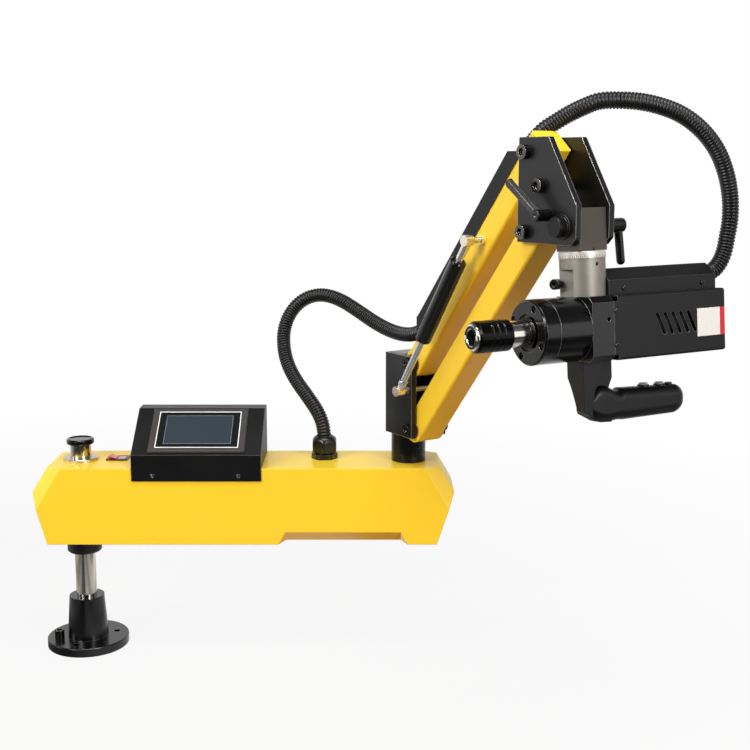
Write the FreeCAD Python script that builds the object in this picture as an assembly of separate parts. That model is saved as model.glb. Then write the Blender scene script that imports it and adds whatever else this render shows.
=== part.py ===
import FreeCAD, Part
import math
import os

# Arm tapping machine, in millimetres. The origin is the centre of the foot's underside, +Z is up
# and +X runs along the base arm. The parallel-link arm is modelled in its own upright plane:
# a points out from the turret, n across the arm, z up. The tool head is modelled about its
# spindle: x points out of the chuck, y across it, z up, with z = 0 on the spindle's axis.

V = FreeCAD.Vector
Placement = FreeCAD.Placement
Rotation = FreeCAD.Rotation
X = V(1, 0, 0)
Y = V(0, 1, 0)
Z = V(0, 0, 1)

# ---- clearances
RUN = 0.05            # radial clearance of a shaft in its bush
SLIP = 0.3            # between faces that move past each other
BITE = 1.0            # how far a cutting tool runs past the face it cuts

# ---- foot and column
FOOT_R = 59.5
FOOT_T = 13.0
FOOT_PCD = 84.0
FOOT_HOLES = 3
FOOT_HOLE_R = 4.5
FOOT_FIRST = 18.0
BOSS_FOOT_R = 30.0
BOSS_TOP_R = 25.4
BOSS_H = 63.0
COLUMN_R = 15.0
COLUMN_SEAT = 20.0    # height of the blind end of the boss's bore
LEVEL_SCREW_AT = 198.0
LEVEL_HEAD_R = 7.0
LEVEL_HEAD_H = 12.0
LEVEL_SHANK_R = 4.0
COLLAR_R = 25.0
COLLAR_H = 26.0
COLLAR_SLOT = 2.0
COLLAR_SLOT_AT = 60.0
KNOB_R = 19.8
KNOB_H = 8.0
KNOB_BORE = 5.0
KNOB_DISH = 1.2

# ---- base arm
ARM_Z = 170.4         # height of its underside
ARM_H = 112.0
ARM_D = 110.0
ARM_WALL = 4.0
POST_X = 479.0        # turret axis
END_APEX_L = -61.0
END_TOP_L = END_APEX_L + 23.0
END_LOW_L = END_APEX_L + 21.0
END_APEX_R = POST_X + 65.0
END_TOP_R = END_APEX_R - 21.5
END_LOW_R = END_APEX_R - 25.0
APEX_H = 75.0         # height of the ends' apex above the underside
FACET_IN = 21.5       # where a corner facet meets the top front edge
FACET_LOW = 51.0      # height at which it meets the lower end edge
FACET_BACK = 12.0     # how far it sets the apex back
NOTCH_L = 291.0
NOTCH_R = 477.5
NOTCH_LEAN = 10.5
NOTCH_H = 19.0
NOTCH_IN = 23.0
COVER_T = 3.0
HUB_WALL = 11.0
CAP_RING_R = 25.5
CAP_RING_T = 4.6
COLUMN_SHOW = 19.6
BUSH_WALL = 3.0
BUSH_L = 28.0
SPIGOT_R = 15.0

# ---- console, switch and gland on the base arm
CONSOLE_X = 84.0
CONSOLE_W = 184.5
CONSOLE_SHEET = 2.0
CONSOLE_LIP = 18.0
CONSOLE_FRONT_H = 20.0
CONSOLE_BACK_H = 72.6
CONSOLE_SLOPE_Y = 20.0
CONSOLE_BACK_Y = 47.0
PANEL_W = 138.0
PANEL_H = 86.0
PANEL_T = 4.0
PANEL_BODY = 30.0
PANEL_LIP = 5.0
SCREEN_W = 119.0
SCREEN_H = 71.0
SCREEN_SUNK = 1.5
SCREEN_T = 1.2
LIP_SCREW_X = (30.5, 152.5)
LIP_SCREW_R = 3.0
LIP_SCREW_H = 2.0
LIP_SCREW_DOWN = 10.0
SWITCH_X = 53.0
SWITCH_Y = 5.0
SWITCH_W = 31.0
SWITCH_D = 26.0
SWITCH_FLANGE = 2.0
SWITCH_EDGE = 3.0
SWITCH_BODY = 14.0
SWITCH_WELL = 9.0
ROCKER_W = 23.0
ROCKER_D = 16.0
ROCKER_PIN_R = 1.5
ROCKER_GAP = 0.5
ROCKER_RISE = 3.2     # of its two ends over the pin
ROCKER_MIDDLE = 1.4
ROCKER_SIDE = 1.5
ROCKER_KEEL = 5.5
ROCKER_TIP = 9.0      # its tilt when switched off
GLAND_X = 356.0
GLAND_Y = 12.0
GLAND_AF = 36.0
GLAND_HEX = 8.0
GLAND_WALL = 1.5
GLAND_CHAMFER = 1.2
GLAND_THREAD_L = 8.0
GLAND_NUT_R = 17.5
GLAND_NUT_TOP = 33.6
GLAND_SEAT = 16.6
GLAND_THREAD_R = 12.5
DRIVE_SIZE = (150.0, 62.0, 70.0)
DRIVE_X = 120.0
FIN_PITCH = 10.0
FIN_W = 4.0
FIN_H = 8.0

# ---- arm plane
ARM_YAW = -56.5       # direction of the arm plane about +Z
LIFT = 50.0           # elevation of the bars at rest
ARM_L = 378.0         # pin to pin
PIN_A = 40.5
PIN_LOW_Z = 338.0
PIN_SPACE = 95.0
PIN_R = 8.0
POST_R = 24.75
POST_TOP = 326.0
SPIGOT_UP = 12.0      # lower end of the turret's spigot, above the arm's underside
POST_GRUB_R = 2.5
POST_GRUB_L = 8.0
POST_GRUB_DOWN = 20.0
PLATE_T = 8.0
FORK = 44.0           # clear width between a pair of side plates
TURRET_BACK = -15.0
TURRET_FRONT = 49.5
TURRET_TOP = 443.0
WEB_FRONT = 17.0
TURRET_SCREW_IN = 27.0
SCREW_R = 4.0
SCREW_HEAD_R = 6.5
SCREW_HEAD_H = 8.0
PIN_HEAD_R = 8.5
PIN_HEAD_H = 4.8
PIN_SOCKET_AT = 2.0
BAR_W = 40.0
BAR_H = 38.0
BAR_WALL = 3.0
BAR_CORNER = 4.0
BAR_TAIL = 17.0
BAR_BUSH_R = 10.5
BAR_HUB_R = 14.0
BAR_BUSH_L = 15.0
BAR_BUSH_FLANGE = 2.5
CABLE_COVER_RISE = 18.0
CABLE_COVER_T = 1.2
CABLE_COVER_W = 42.0
CABLE_COVER_LOW_A = 48.0
CABLE_COVER_LAP = 5.0      # how far its sides reach down the bar
CABLE_COVER_ROUND = 2.0
CABLE_COVER_PAST = 40.0    # length cut off at each end
CABLE_COVER_DROP = 16.0    # its level upper end, below the top of the head plates
CABLE_STOP_IN = 23.0       # the closing plate inside it, below the upper pin

# ---- gas spring
GAS_N = -44.0
GAS_LOW_A = 40.0
GAS_LOW_Z = 395.0
GAS_UPPER_U = 234.6
GAS_TUBE_R = 11.0
GAS_TUBE_FROM = 96.0
GAS_TUBE_TO = 233.0
GAS_ROD_R = 5.0
GAS_ROD_END = 150.0
GAS_GUIDE_R = 7.6
GAS_BALL_R = 5.0
GAS_CUP_R = 7.2
GAS_STUD_R = 4.0
GAS_THROAT_R = 2.8
GAS_STUD_GAP = 1.5
GAS_NUT_AF = 13.0
GAS_NUT_T = 6.0
GAS_BOSS_R = 8.0
GAS_NECK_L = 8.0
GAS_MOUTH_R = 4.4
GAS_COLLAR_R = 6.2
GAS_COLLAR_L = 7.0
GAS_WALL = 6.0

# ---- head bracket, measured from its two pins
HEAD_IN = 13.0
HEAD_REACH = 90.0
HEAD_ABOVE = 17.4
HEAD_BELOW = 12.6
HEAD_TOP_OUT = 39.5   # outer end of the level top edge
HEAD_SHOULDER = 33.4  # where the sloping edge meets the upright one
HEAD_CHAMFER = 8.5
SPACER_OUT = 28.0
SPACER_UP = 55.4
SPACER_R = 6.0
HEAD_SCREW_R = 8.7
HEAD_SCREW_IN = 9.0
HEAD_HOLE_IN = 10.0
TILT_OUT = 66.5
TILT_UP = 8.4
TILT_PIN_R = 8.0
TILT_DISC_R = 12.0
TILT_DISC_T = 11.0
TILT_WASHER_R = 15.0
TILT_WASHER_T = 2.0
TILT_THREAD_R = 5.0
TILT_THREAD_L = 11.0
LEVER_IN = 22.0       # the front lever's stud, from the tilt pivot
LEVER_UP = 13.0
LEVER_HUB_R = 7.0
LEVER_HUB_L = 23.0
LEVER_L = 62.0
LEVER_T = 6.0
LEVER_ROOT_W = 8.0
LEVER_TIP_W = 10.5
REAR_HUB_R = 8.8
REAR_HUB_L = 38.0
REAR_LEVER_L = 48.0
REAR_LEVER_R = 5.2

# ---- tilting block and swivel
TILT = 5.0            # the tool head leans out by this at rest
SWIVEL = 263.5        # direction of the spindle in the arm plane's frame
BLOCK_A = 20.0
BLOCK_N = 21.7
BLOCK_UP = 21.0
BLOCK_DOWN = 28.5
POINTER_W = 6.0
POINTER_H = 4.0
POINTER_CUT = 2.0
SWIVEL_PIN_R = 15.0
SWIVEL_PIN_END = 74.0
SWIVEL_PIN_IN = 12.0
DIAL_R = 27.5
DIAL_T = 8.2
COLLAR_TOOL_R = 27.0
SPINDLE_DROP = 119.5  # from the tilt pivot down to the spindle's axis
SPLIT = 2.5
CLAMP_TURN = 25.0     # the clamp screw's direction from the spindle's
CLAMP_OFF = 20.5
CLAMP_SEAT = 17.0
CLAMP_EDGE = 2.0
CLAMP_OUT = 7.0
CLAMP_LEDGE = 12.5
SET_SCREW_TURN = 92.0
SET_SCREW_DOWN = 7.4
SET_SCREW_R = 2.2
SET_SCREW_L = 8.0
SET_SCREW_IN = 4.0
CLAMP_SHANK = 12.0    # how deep it sits in the far half
CLAMP_SCREW_R = 6.3

# ---- gearbox, motor and their covers
GEAR_R = 38.5
GEAR_HALF = 38.0
GEAR_BLOCK_BACK = -15.0
GEAR_BLOCK_FRONT = 16.0
GEAR_CHAMFER = 7.0
GEAR_CAP_FROM = 60.0
GEAR_CAP_TO = 81.0
GEAR_WALL = 6.0
CAP_SCREW_R = 31.0
CAP_SCREW_FIRST = 62.0
CAP_SCREW_SINK = 6.0
CAP_SHANK_R = 2.5
CAP_SHANK_L = 14.0
CAP_HEAD_R = 4.0
CAP_HEAD_H = 4.0
CAP_HOLE_R = 4.6
OILER_R = 2.8
OILER_X = -7.5
OILER_Z = 11.0
OILER_IN = 6.0
SPINDLE_R = 15.5
SPINDLE_NUT_R = 18.5
SPINDLE_NUT_T = 4.0
NUT_WELL_R = 22.5
NUT_WELL = 3.0
NUT_SLOTS = 4
NUT_SLOT_W = 4.0
NUT_SLOT_IN = 1.5
SPINDLE_IN = 12.0     # how far it runs back into the gearbox
SPINDLE_TIP = 157.0
CHUCK_BORE_R = 9.5
CHUCK_BORE_L = 42.0
SLEEVE_R = 18.5
SLEEVE_FROM = 110.0
SLEEVE_TO = 154.0
SLEEVE_TRAVEL = 4.0
SLEEVE_GROOVE = 0.9
SLEEVE_GROOVE_W = 3.0
SLEEVE_GROOVES = 3
SLEEVE_GROOVE_FIRST = 10.0
SLEEVE_GROOVE_PITCH = 8.0
MOTOR_HALF = 38.0
MOTOR_FRONT = -21.0
MOTOR_BACK = -183.0
MOTOR_ROUND = 3.0
MOTOR_SHEET = 2.0
MOTOR_CAN_R = 28.0
MOTOR_CAN_GAP = 20.0
MOTOR_FLANGE_T = 10.0
MOTOR_FLANGE_OVER = 2.0
TAB_HALF = 31.0
LOUVRES = 5
LOUVRE_FIRST = -78.7
LOUVRE_PITCH = 11.85
LOUVRE_TOP = 11.5
LOUVRE_LOW = -10.5
LOUVRE_LEAN = 10.2
LOUVRE_R = 2.4
WIRE_HALF = 25.0
WIRE_SIDE_TOP = 55.3
WIRE_FLAT_HALF = 8.0
WIRE_TOP = 68.7
WIRE_FRONT = -18.5
WIRE_BACK = -181.0
WIRE_SHEET = 2.0
WIRE_ENTRY_Z = 55.0
WIRE_SCREW_X = (-41.0, -160.0)
WIRE_SCREW_Z = 45.0
SHEET_SCREW_R = 2.8
SHEET_SCREW_H = 1.6
TAB_SCREW_X = -18.0
TAB_SCREW_Z = 20.0

# ---- handle: a flat-sided column, a rib behind it and a rounded grip
HANDLE_FRONT = 15.0
HANDLE_BACK = -11.0
HANDLE_HALF = 15.8
HANDLE_FRONT_LOW = 98.0
HANDLE_TOE = -12.0
HANDLE_LOW = 113.0
HANDLE_SIDE_BACK = 2.7    # where the flat side ends at the bottom
HANDLE_SIDE_TURN = 57.0   # where its rear edge starts to curve forward
RIB_BACK = -33.0
RIB_HALF = 7.0
RIB_LOW = 61.0
GRIP_ROOT = -29.0
GRIP_END = -140.0
GRIP_TOP = 74.3
GRIP_FALL = 0.041         # slope of its upper side
GRIP_LOW = 114.0
GRIP_HALF = 15.0
BUTTON_X = (-85.5, -110.3)
BUTTON_R = 5.5
BUTTON_PROUD = 4.0
BUTTON_SEAT = 8.0
BUTTON_RIM = 1.8
BUTTON_RIM_H = 1.5
BUTTON_LIFT = 2.0
SOLE_SHARE = 0.65     # width of the handle's flat sole, of the grip's
SOLE_SLOT_L = 18.0
SOLE_SLOT_W = 3.0
SOLE_SLOT_Y = 6.0
SOLE_SLOT_DEEP = 4.0
BUMP_X = -124.5
BUMP_R = 4.5
BUMP_H = 2.6

# ---- cable conduit and its route, clamped ends first
CONDUIT_R = 10.25
LOWER_ROUTE = [
    V(356, 12, 299), V(356, 12, 324), V(348, 20, 347), V(331, 38, 368),
    V(312, 59, 389), V(298, 78, 411), V(291, 95, 435), V(291, 108, 461),
    V(301, 116, 486), V(321, 117, 506), V(348, 111, 514), V(376, 97, 508),
    V(402, 77, 494), V(426, 54, 480), V(446, 33, 471), V(464, 14, 466.5),
    V(479, -4, 467), V(492.6, -20.6, 472.1), V(503.6, -37.1, 481.4)]
UPPER_RUN = [          # from the tilt pivot
    V(-54.37, 84.86, 91.34), V(-44.8, 78.55, 103.9), V(-35.94, 74.77, 114.12),
    V(-22.62, 73.13, 122.47), V(-6.42, 67.67, 132.54), V(11.84, 54.58, 141.54),
    V(26.24, 47.44, 146.94), V(49.84, 41.84, 147.14), V(74.84, 42.84, 145.54),
    V(98.84, 47.34, 140.54), V(121.84, 52.84, 133.04), V(142.84, 58.34, 121.04),
    V(161.84, 64.84, 105.04), V(177.84, 72.84, 86.04), V(189.34, 79.84, 64.04),
    V(196.84, 86.34, 43.04), V(201.04, 91.34, 23.04), V(202.34, 94.34, 2.04),
    V(199.54, 95.44, -18.96), V(196.44, 93.84, -37.96), V(188.84, 90.04, -52.96),
    V(177.24, 84.14, -62.26), V(164.37, 77.57, -62.47)]

# ---- derived sizes
ARM_TOP = ARM_Z + ARM_H
HALF_D = ARM_D / 2
COLUMN_TOP = ARM_TOP + CAP_RING_T + COLUMN_SHOW + KNOB_BORE
PIN_HIGH_Z = PIN_LOW_Z + PIN_SPACE
FORK_HALF = FORK / 2
PLATE_OUT = FORK_HALF + PLATE_T
HEAD_PIN_A = PIN_A + ARM_L * math.cos(math.radians(LIFT))
HEAD_PIN_LOW_Z = PIN_LOW_Z + ARM_L * math.sin(math.radians(LIFT))
HEAD_PIN_HIGH_Z = HEAD_PIN_LOW_Z + PIN_SPACE
HEAD_TOP = HEAD_PIN_HIGH_Z + HEAD_ABOVE
SPACER_A = HEAD_PIN_A + SPACER_OUT
SPACER_Z = HEAD_PIN_LOW_Z + SPACER_UP
TILT_A = HEAD_PIN_A + TILT_OUT
TILT_Z = HEAD_PIN_LOW_Z + TILT_UP
LEVER_A = TILT_A - LEVER_IN
LEVER_Z = TILT_Z + LEVER_UP
COLLAR_TOP = SPINDLE_DROP - BLOCK_DOWN - SLIP - DIAL_T

ARM_FRAME = Placement(V(POST_X, 0, 0), Rotation(Z, ARM_YAW))
BAR_FRAME = Placement(V(PIN_A, 0, 0), Rotation(Y, -LIFT))
TILT_FRAME = ARM_FRAME.multiply(Placement(V(TILT_A, 0, TILT_Z), Rotation(Y, -TILT)))
TOOL_FRAME = TILT_FRAME.multiply(Placement(V(0, 0, -SPINDLE_DROP), Rotation(Z, SWIVEL)))
UPPER_ROUTE = [TILT_FRAME.Base + point for point in UPPER_RUN]


# ---- basic solids
def rod(r, length, base, axis=Z):
    return Part.makeCylinder(r, length, base, axis)


def ring(r_out, r_in, length, base, axis=Z):
    core = rod(r_in, length + 2 * BITE, base - axis * BITE, axis)
    return rod(r_out, length, base, axis).cut(core)


def block(x0, x1, y0, y1, z0, z1):
    return Part.makeBox(x1 - x0, y1 - y0, z1 - z0, V(x0, y0, z0))


def prism(points, sweep):
    outline = Part.makePolygon(points + [points[0]])
    return Part.Face(outline).extrude(sweep)


def turned(profile, base, axis):
    # profile: (radius, distance along the axis) pairs of the half section
    outline = Part.makePolygon([V(r, 0, h) for r, h in profile + [profile[0]]])
    solid = Part.Face(outline).revolve(V(0, 0, 0), Z, 360)
    solid.Placement = Placement(base, Rotation(Z, axis))
    return solid


def hexagon(across, length, base, axis=Z):
    corner = across / math.sqrt(3)
    points = [V(corner * math.cos(k * math.pi / 3), corner * math.sin(k * math.pi / 3), 0)
              for k in range(6)]
    solid = prism(points, V(0, 0, length))
    solid.Placement = Placement(base, Rotation(Z, axis))
    return solid


def join(shapes):
    return shapes[0].multiFuse(shapes[1:]).removeSplitter()


def cap_screw(r_shank, length, r_head, height, seat, outward):
    # a socket screw whose head sits on the point seat and whose shank goes the other way
    head = rod(r_head, height, seat, outward)
    socket = hexagon(r_head, height * 0.5, seat + outward * (height * 0.6), outward)
    shank = rod(r_shank, length, seat - outward * length, outward)
    return join([head.cut(socket), shank])


def along(edge, axis):
    ends = edge.Vertexes
    if len(ends) != 2:
        return False
    run = ends[1].Point - ends[0].Point
    return run.Length > 0.5 and abs(run.normalize().dot(axis)) > 0.999


def round_edges(solid, radius, pick):
    return solid.makeFillet(radius, [edge for edge in solid.Edges if pick(edge)])


def at(shape, frame):
    placed = shape.copy()
    placed.Placement = frame.multiply(placed.Placement)
    return placed


# ---- foot
def on_circle(radius, angle, z):
    turn = math.radians(angle)
    return V(radius * math.cos(turn), radius * math.sin(turn), z)


def foot_flange():
    rim = 1.0
    top = FOOT_T + BOSS_H
    profile = [(0, 0), (FOOT_R - rim, 0), (FOOT_R, rim), (FOOT_R, FOOT_T - rim),
               (FOOT_R - rim, FOOT_T), (BOSS_FOOT_R, FOOT_T), (BOSS_TOP_R, top), (0, top)]
    foot = turned(profile, V(0, 0, 0), Z)
    foot = foot.cut(rod(COLUMN_R, top, V(0, 0, COLUMN_SEAT)))
    for k in range(FOOT_HOLES):
        spot = on_circle(FOOT_PCD / 2, FOOT_FIRST + 360 * k / FOOT_HOLES, -BITE)
        foot = foot.cut(rod(FOOT_HOLE_R, FOOT_T + 2 * BITE, spot))
    spot = on_circle(FOOT_PCD / 2, LEVEL_SCREW_AT, -BITE)
    return foot.cut(rod(LEVEL_SHANK_R, FOOT_T + 2 * BITE, spot))


def foot_screw():
    seat = on_circle(FOOT_PCD / 2, LEVEL_SCREW_AT, FOOT_T)
    return cap_screw(LEVEL_SHANK_R, FOOT_T, LEVEL_HEAD_R, LEVEL_HEAD_H, seat, Z)


def column():
    edge = 1.0
    profile = [(0, COLUMN_SEAT), (COLUMN_R, COLUMN_SEAT), (COLUMN_R, COLUMN_TOP - edge),
               (COLUMN_R - edge, COLUMN_TOP), (0, COLUMN_TOP)]
    return turned(profile, V(0, 0, 0), Z)


def column_collar():
    edge = 2.5
    low = ARM_Z - COLLAR_H
    profile = [(COLUMN_R, low), (COLLAR_R - edge, low), (COLLAR_R, low + edge),
               (COLLAR_R, ARM_Z), (COLUMN_R, ARM_Z)]
    collar = turned(profile, V(0, 0, 0), Z)
    slot = block(0, COLLAR_R + BITE, -COLLAR_SLOT / 2, COLLAR_SLOT / 2, low - BITE, ARM_Z + BITE)
    slot.rotate(V(0, 0, 0), Z, COLLAR_SLOT_AT)
    return collar.cut(slot)


def column_cap():
    edge = 1.6
    low = COLUMN_TOP - KNOB_BORE
    top = low + KNOB_H
    profile = [(0, COLUMN_TOP), (COLUMN_R, COLUMN_TOP), (COLUMN_R, low), (KNOB_R - edge, low),
               (KNOB_R, low + edge), (KNOB_R, top - edge), (KNOB_R - edge, top),
               (KNOB_R - 2 * edge, top), (KNOB_R - 3 * edge, top - KNOB_DISH), (0, top - KNOB_DISH)]
    return turned(profile, V(0, 0, 0), Z)


# ---- base arm
def arm_block(inset, low, top):
    # the arm's outer form, or the same form set in by a wall
    def end(sign, upper, apex, lower):
        lean = inset * 1.1
        return [V(upper - sign * lean, 0, top), V(apex - sign * lean, 0, ARM_Z + APEX_H),
                V(lower - sign * lean, 0, low)]
    left = end(-1, END_TOP_L, END_APEX_L, END_LOW_L)
    right = end(1, END_TOP_R, END_APEX_R, END_LOW_R)
    half = HALF_D - inset
    outline = [p - V(0, half, 0) for p in left + right[::-1]]
    body = prism(outline, V(0, 2 * half, 0))
    for side in (-1, 1):
        body = body.cut(facet(-1, side, END_TOP_L, END_APEX_L, END_LOW_L, inset))
        body = body.cut(facet(1, side, END_TOP_R, END_APEX_R, END_LOW_R, inset))
    return body


def facet(sign, side, upper, apex, lower, inset):
    # the plane that bevels one corner, as the block outside it
    share = FACET_LOW / APEX_H
    edge_x = lower + (apex - lower) * share
    inner = V(upper - sign * FACET_IN, side * HALF_D, ARM_TOP)
    low = V(edge_x, side * HALF_D, ARM_Z + FACET_LOW)
    back = V(apex, side * (HALF_D - FACET_BACK), ARM_Z + APEX_H)
    normal = (low - inner).cross(back - inner).normalize()
    if normal.y * side < 0:
        normal = -normal
    reach = 400.0
    slab = Part.makeBox(reach, reach, reach, V(-reach / 2, -reach / 2, 0))
    slab.Placement = Placement(inner - normal * inset, Rotation(Z, normal))
    return slab


def notch(side, grow):
    # the sloping finger recess under one long edge, or its inner skin grown by a wall
    low = ARM_Z - BITE
    lean = NOTCH_LEAN * (NOTCH_H + BITE) / NOTCH_H
    depth = NOTCH_IN * (NOTCH_H + BITE) / NOTCH_H
    top = ARM_Z + NOTCH_H + grow
    face = side * (HALF_D + BITE)
    mouth = [V(NOTCH_L - grow - lean + NOTCH_LEAN, face, low),
             V(NOTCH_R + grow + lean - NOTCH_LEAN, face, low),
             V(NOTCH_R - NOTCH_LEAN + grow, face, top),
             V(NOTCH_L + NOTCH_LEAN - grow, face, top)]
    inner = side * (HALF_D - depth - grow)
    deep = [V(NOTCH_L + NOTCH_LEAN - grow, inner, low), V(NOTCH_R - NOTCH_LEAN + grow, inner, low)]
    faces = [Part.Face(Part.makePolygon(loop + [loop[0]])) for loop in (
        mouth, [mouth[0], mouth[1], deep[1], deep[0]], [mouth[3], mouth[2], deep[1], deep[0]],
        [mouth[0], mouth[3], deep[0]], [mouth[1], mouth[2], deep[1]])]
    solid = Part.Solid(Part.Shell(faces))
    if solid.Volume < 0:
        solid.reverse()
    return solid


def hub_places():
    return ((0.0, COLUMN_R + RUN + BUSH_WALL), (POST_X, SPIGOT_R + RUN + BUSH_WALL))


def arm_cavity():
    cavity = arm_block(ARM_WALL, ARM_Z - BITE, ARM_TOP - ARM_WALL)
    for side in (-1, 1):
        cavity = cavity.cut(notch(side, ARM_WALL))
    return cavity


def base_arm_shell():
    shell = arm_block(0, ARM_Z, ARM_TOP)
    for side in (-1, 1):
        shell = shell.cut(notch(side, 0))
    shell = shell.cut(arm_cavity())
    hubs = [rod(bore + HUB_WALL, ARM_H, V(x, 0, ARM_Z)) for x, bore in hub_places()]
    shell = join([shell] + hubs)
    for x, bore in hub_places():
        shell = shell.cut(rod(bore, ARM_H + 2 * BITE, V(x, 0, ARM_Z - BITE)))
    gland = rod(GLAND_THREAD_R, ARM_WALL + 2 * BITE, V(GLAND_X, GLAND_Y, ARM_TOP - ARM_WALL - BITE))
    return shell.cut(gland).cut(switch_body(ARM_TOP + BITE))


def base_cover():
    slab = block(END_APEX_L, END_APEX_R, -HALF_D, HALF_D, ARM_Z, ARM_Z + COVER_T)
    plate = arm_cavity().common(slab)
    for x, bore in hub_places():
        plate = plate.cut(rod(bore + HUB_WALL, ARM_H, V(x, 0, ARM_Z - BITE)))
    return plate


def bushes_in_arm(x, shaft_r):
    low = ring(shaft_r + RUN + BUSH_WALL, shaft_r + RUN, BUSH_L, V(x, 0, ARM_Z))
    high = ring(shaft_r + RUN + BUSH_WALL, shaft_r + RUN, BUSH_L, V(x, 0, ARM_TOP - BUSH_L))
    return Part.makeCompound([low, high])


def bearing_cap():
    edge = 0.8
    top = ARM_TOP + CAP_RING_T
    bore = COLUMN_R + SLIP
    profile = [(bore, ARM_TOP), (CAP_RING_R, ARM_TOP), (CAP_RING_R, top - edge),
               (CAP_RING_R - edge, top), (bore, top)]
    return turned(profile, V(0, 0, 0), Z)


def drive_unit():
    length, depth, height = DRIVE_SIZE
    low = ARM_Z + COVER_T
    top = low + height
    starts = [DRIVE_X + FIN_PITCH * k for k in range(int(length // FIN_PITCH))]
    fins = [block(x, x + FIN_W, -depth / 2, depth / 2, top, top + FIN_H) for x in starts]
    body = block(DRIVE_X, DRIVE_X + length, -depth / 2, depth / 2, low, top)
    return join([body] + fins)


# ---- console
def console_section(inset):
    front = -HALF_D - CONSOLE_SHEET + inset
    back = CONSOLE_BACK_Y - inset
    drop = inset * 1.35
    points = [(front, ARM_TOP - CONSOLE_LIP - (BITE if inset else 0)),
              (front, ARM_TOP + CONSOLE_FRONT_H - drop * 0.5),
              (CONSOLE_SLOPE_Y + inset * 0.3, ARM_TOP + CONSOLE_BACK_H - inset),
              (back, ARM_TOP + CONSOLE_BACK_H - inset), (back, ARM_TOP - (BITE if inset else 0)),
              (-HALF_D, ARM_TOP - (BITE if inset else 0)), (-HALF_D, ARM_TOP - CONSOLE_LIP)]
    if inset:
        points = points[:5]
        points[0] = (front, ARM_TOP - BITE)
    left = CONSOLE_X + inset
    return prism([V(left, y, z) for y, z in points], V(CONSOLE_W - 2 * inset, 0, 0))


def panel_frame():
    # x along the console, y up its slope, z out of the sloping face, from the face's centre
    run = CONSOLE_SLOPE_Y + HALF_D + CONSOLE_SHEET
    rise = CONSOLE_BACK_H - CONSOLE_FRONT_H
    slope = math.degrees(math.atan2(rise, run))
    middle = V(CONSOLE_X + CONSOLE_W / 2, CONSOLE_SLOPE_Y - run / 2, ARM_TOP + CONSOLE_BACK_H - rise / 2)
    return Placement(middle, Rotation(X, slope))


def panel_block(low, high):
    # the touch panel's body behind its face, which the console's window lets through
    half_w = PANEL_W / 2 - PANEL_LIP
    half_h = PANEL_H / 2 - PANEL_LIP
    return block(-half_w, half_w, -half_h, half_h, low, high)


def console_housing():
    housing = console_section(0).cut(console_section(CONSOLE_SHEET))
    window = panel_block(-2 * CONSOLE_SHEET, 2 * CONSOLE_SHEET)
    housing = housing.cut(at(window, panel_frame()))
    for x in LIP_SCREW_X:
        spot = V(CONSOLE_X + x, -HALF_D - CONSOLE_SHEET - BITE, ARM_TOP - LIP_SCREW_DOWN)
        housing = housing.cut(rod(LIP_SCREW_R / 2, CONSOLE_SHEET + 2 * BITE, spot, Y))
    return housing


def console_screws():
    screws = []
    for x in LIP_SCREW_X:
        seat = V(CONSOLE_X + x, -HALF_D - CONSOLE_SHEET, ARM_TOP - LIP_SCREW_DOWN)
        screws.append(cap_screw(LIP_SCREW_R / 2, CONSOLE_SHEET, LIP_SCREW_R, LIP_SCREW_H, seat, -Y))
    return Part.makeCompound(screws)


def hmi_bezel():
    rim = 1.5
    plate = block(-PANEL_W / 2, PANEL_W / 2, -PANEL_H / 2, PANEL_H / 2, 0, PANEL_T)
    plate = plate.makeChamfer(rim, [e for e in plate.Edges if e.BoundBox.ZMin > PANEL_T - 0.1])
    body = panel_block(-PANEL_BODY, 0)
    pocket = block(-SCREEN_W / 2, SCREEN_W / 2, -SCREEN_H / 2, SCREEN_H / 2,
                   PANEL_T - SCREEN_SUNK, PANEL_T + BITE)
    return at(join([plate, body]).cut(pocket), panel_frame())


def hmi_screen():
    glass = block(-SCREEN_W / 2, SCREEN_W / 2, -SCREEN_H / 2, SCREEN_H / 2,
                  PANEL_T - SCREEN_SUNK, PANEL_T - SCREEN_SUNK + SCREEN_T)
    return at(glass, panel_frame())


# ---- power switch
def switch_body(top):
    w = SWITCH_W / 2 - SWITCH_EDGE
    d = SWITCH_D / 2 - SWITCH_EDGE
    return block(SWITCH_X - w, SWITCH_X + w, SWITCH_Y - d, SWITCH_Y + d,
                 ARM_TOP - ARM_WALL - SWITCH_BODY, top)


def rocker_axis():
    return V(SWITCH_X, SWITCH_Y, ARM_TOP + SWITCH_FLANGE / 2)


def switch_bezel():
    flange = block(SWITCH_X - SWITCH_W / 2, SWITCH_X + SWITCH_W / 2, SWITCH_Y - SWITCH_D / 2,
                   SWITCH_Y + SWITCH_D / 2, ARM_TOP, ARM_TOP + SWITCH_FLANGE)
    flange = round_edges(flange, 2.0, lambda e: along(e, Z))
    w = ROCKER_W / 2 + ROCKER_GAP
    d = ROCKER_D / 2 + ROCKER_GAP
    well = block(SWITCH_X - w, SWITCH_X + w, SWITCH_Y - d, SWITCH_Y + d,
                 ARM_TOP - SWITCH_WELL, ARM_TOP + SWITCH_FLANGE + BITE)
    pin = rod(ROCKER_PIN_R, ROCKER_D + 2 * BITE, rocker_axis() - Y * (ROCKER_D / 2 + BITE), Y)
    return join([flange, switch_body(ARM_TOP)]).cut(well).fuse(pin)


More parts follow.
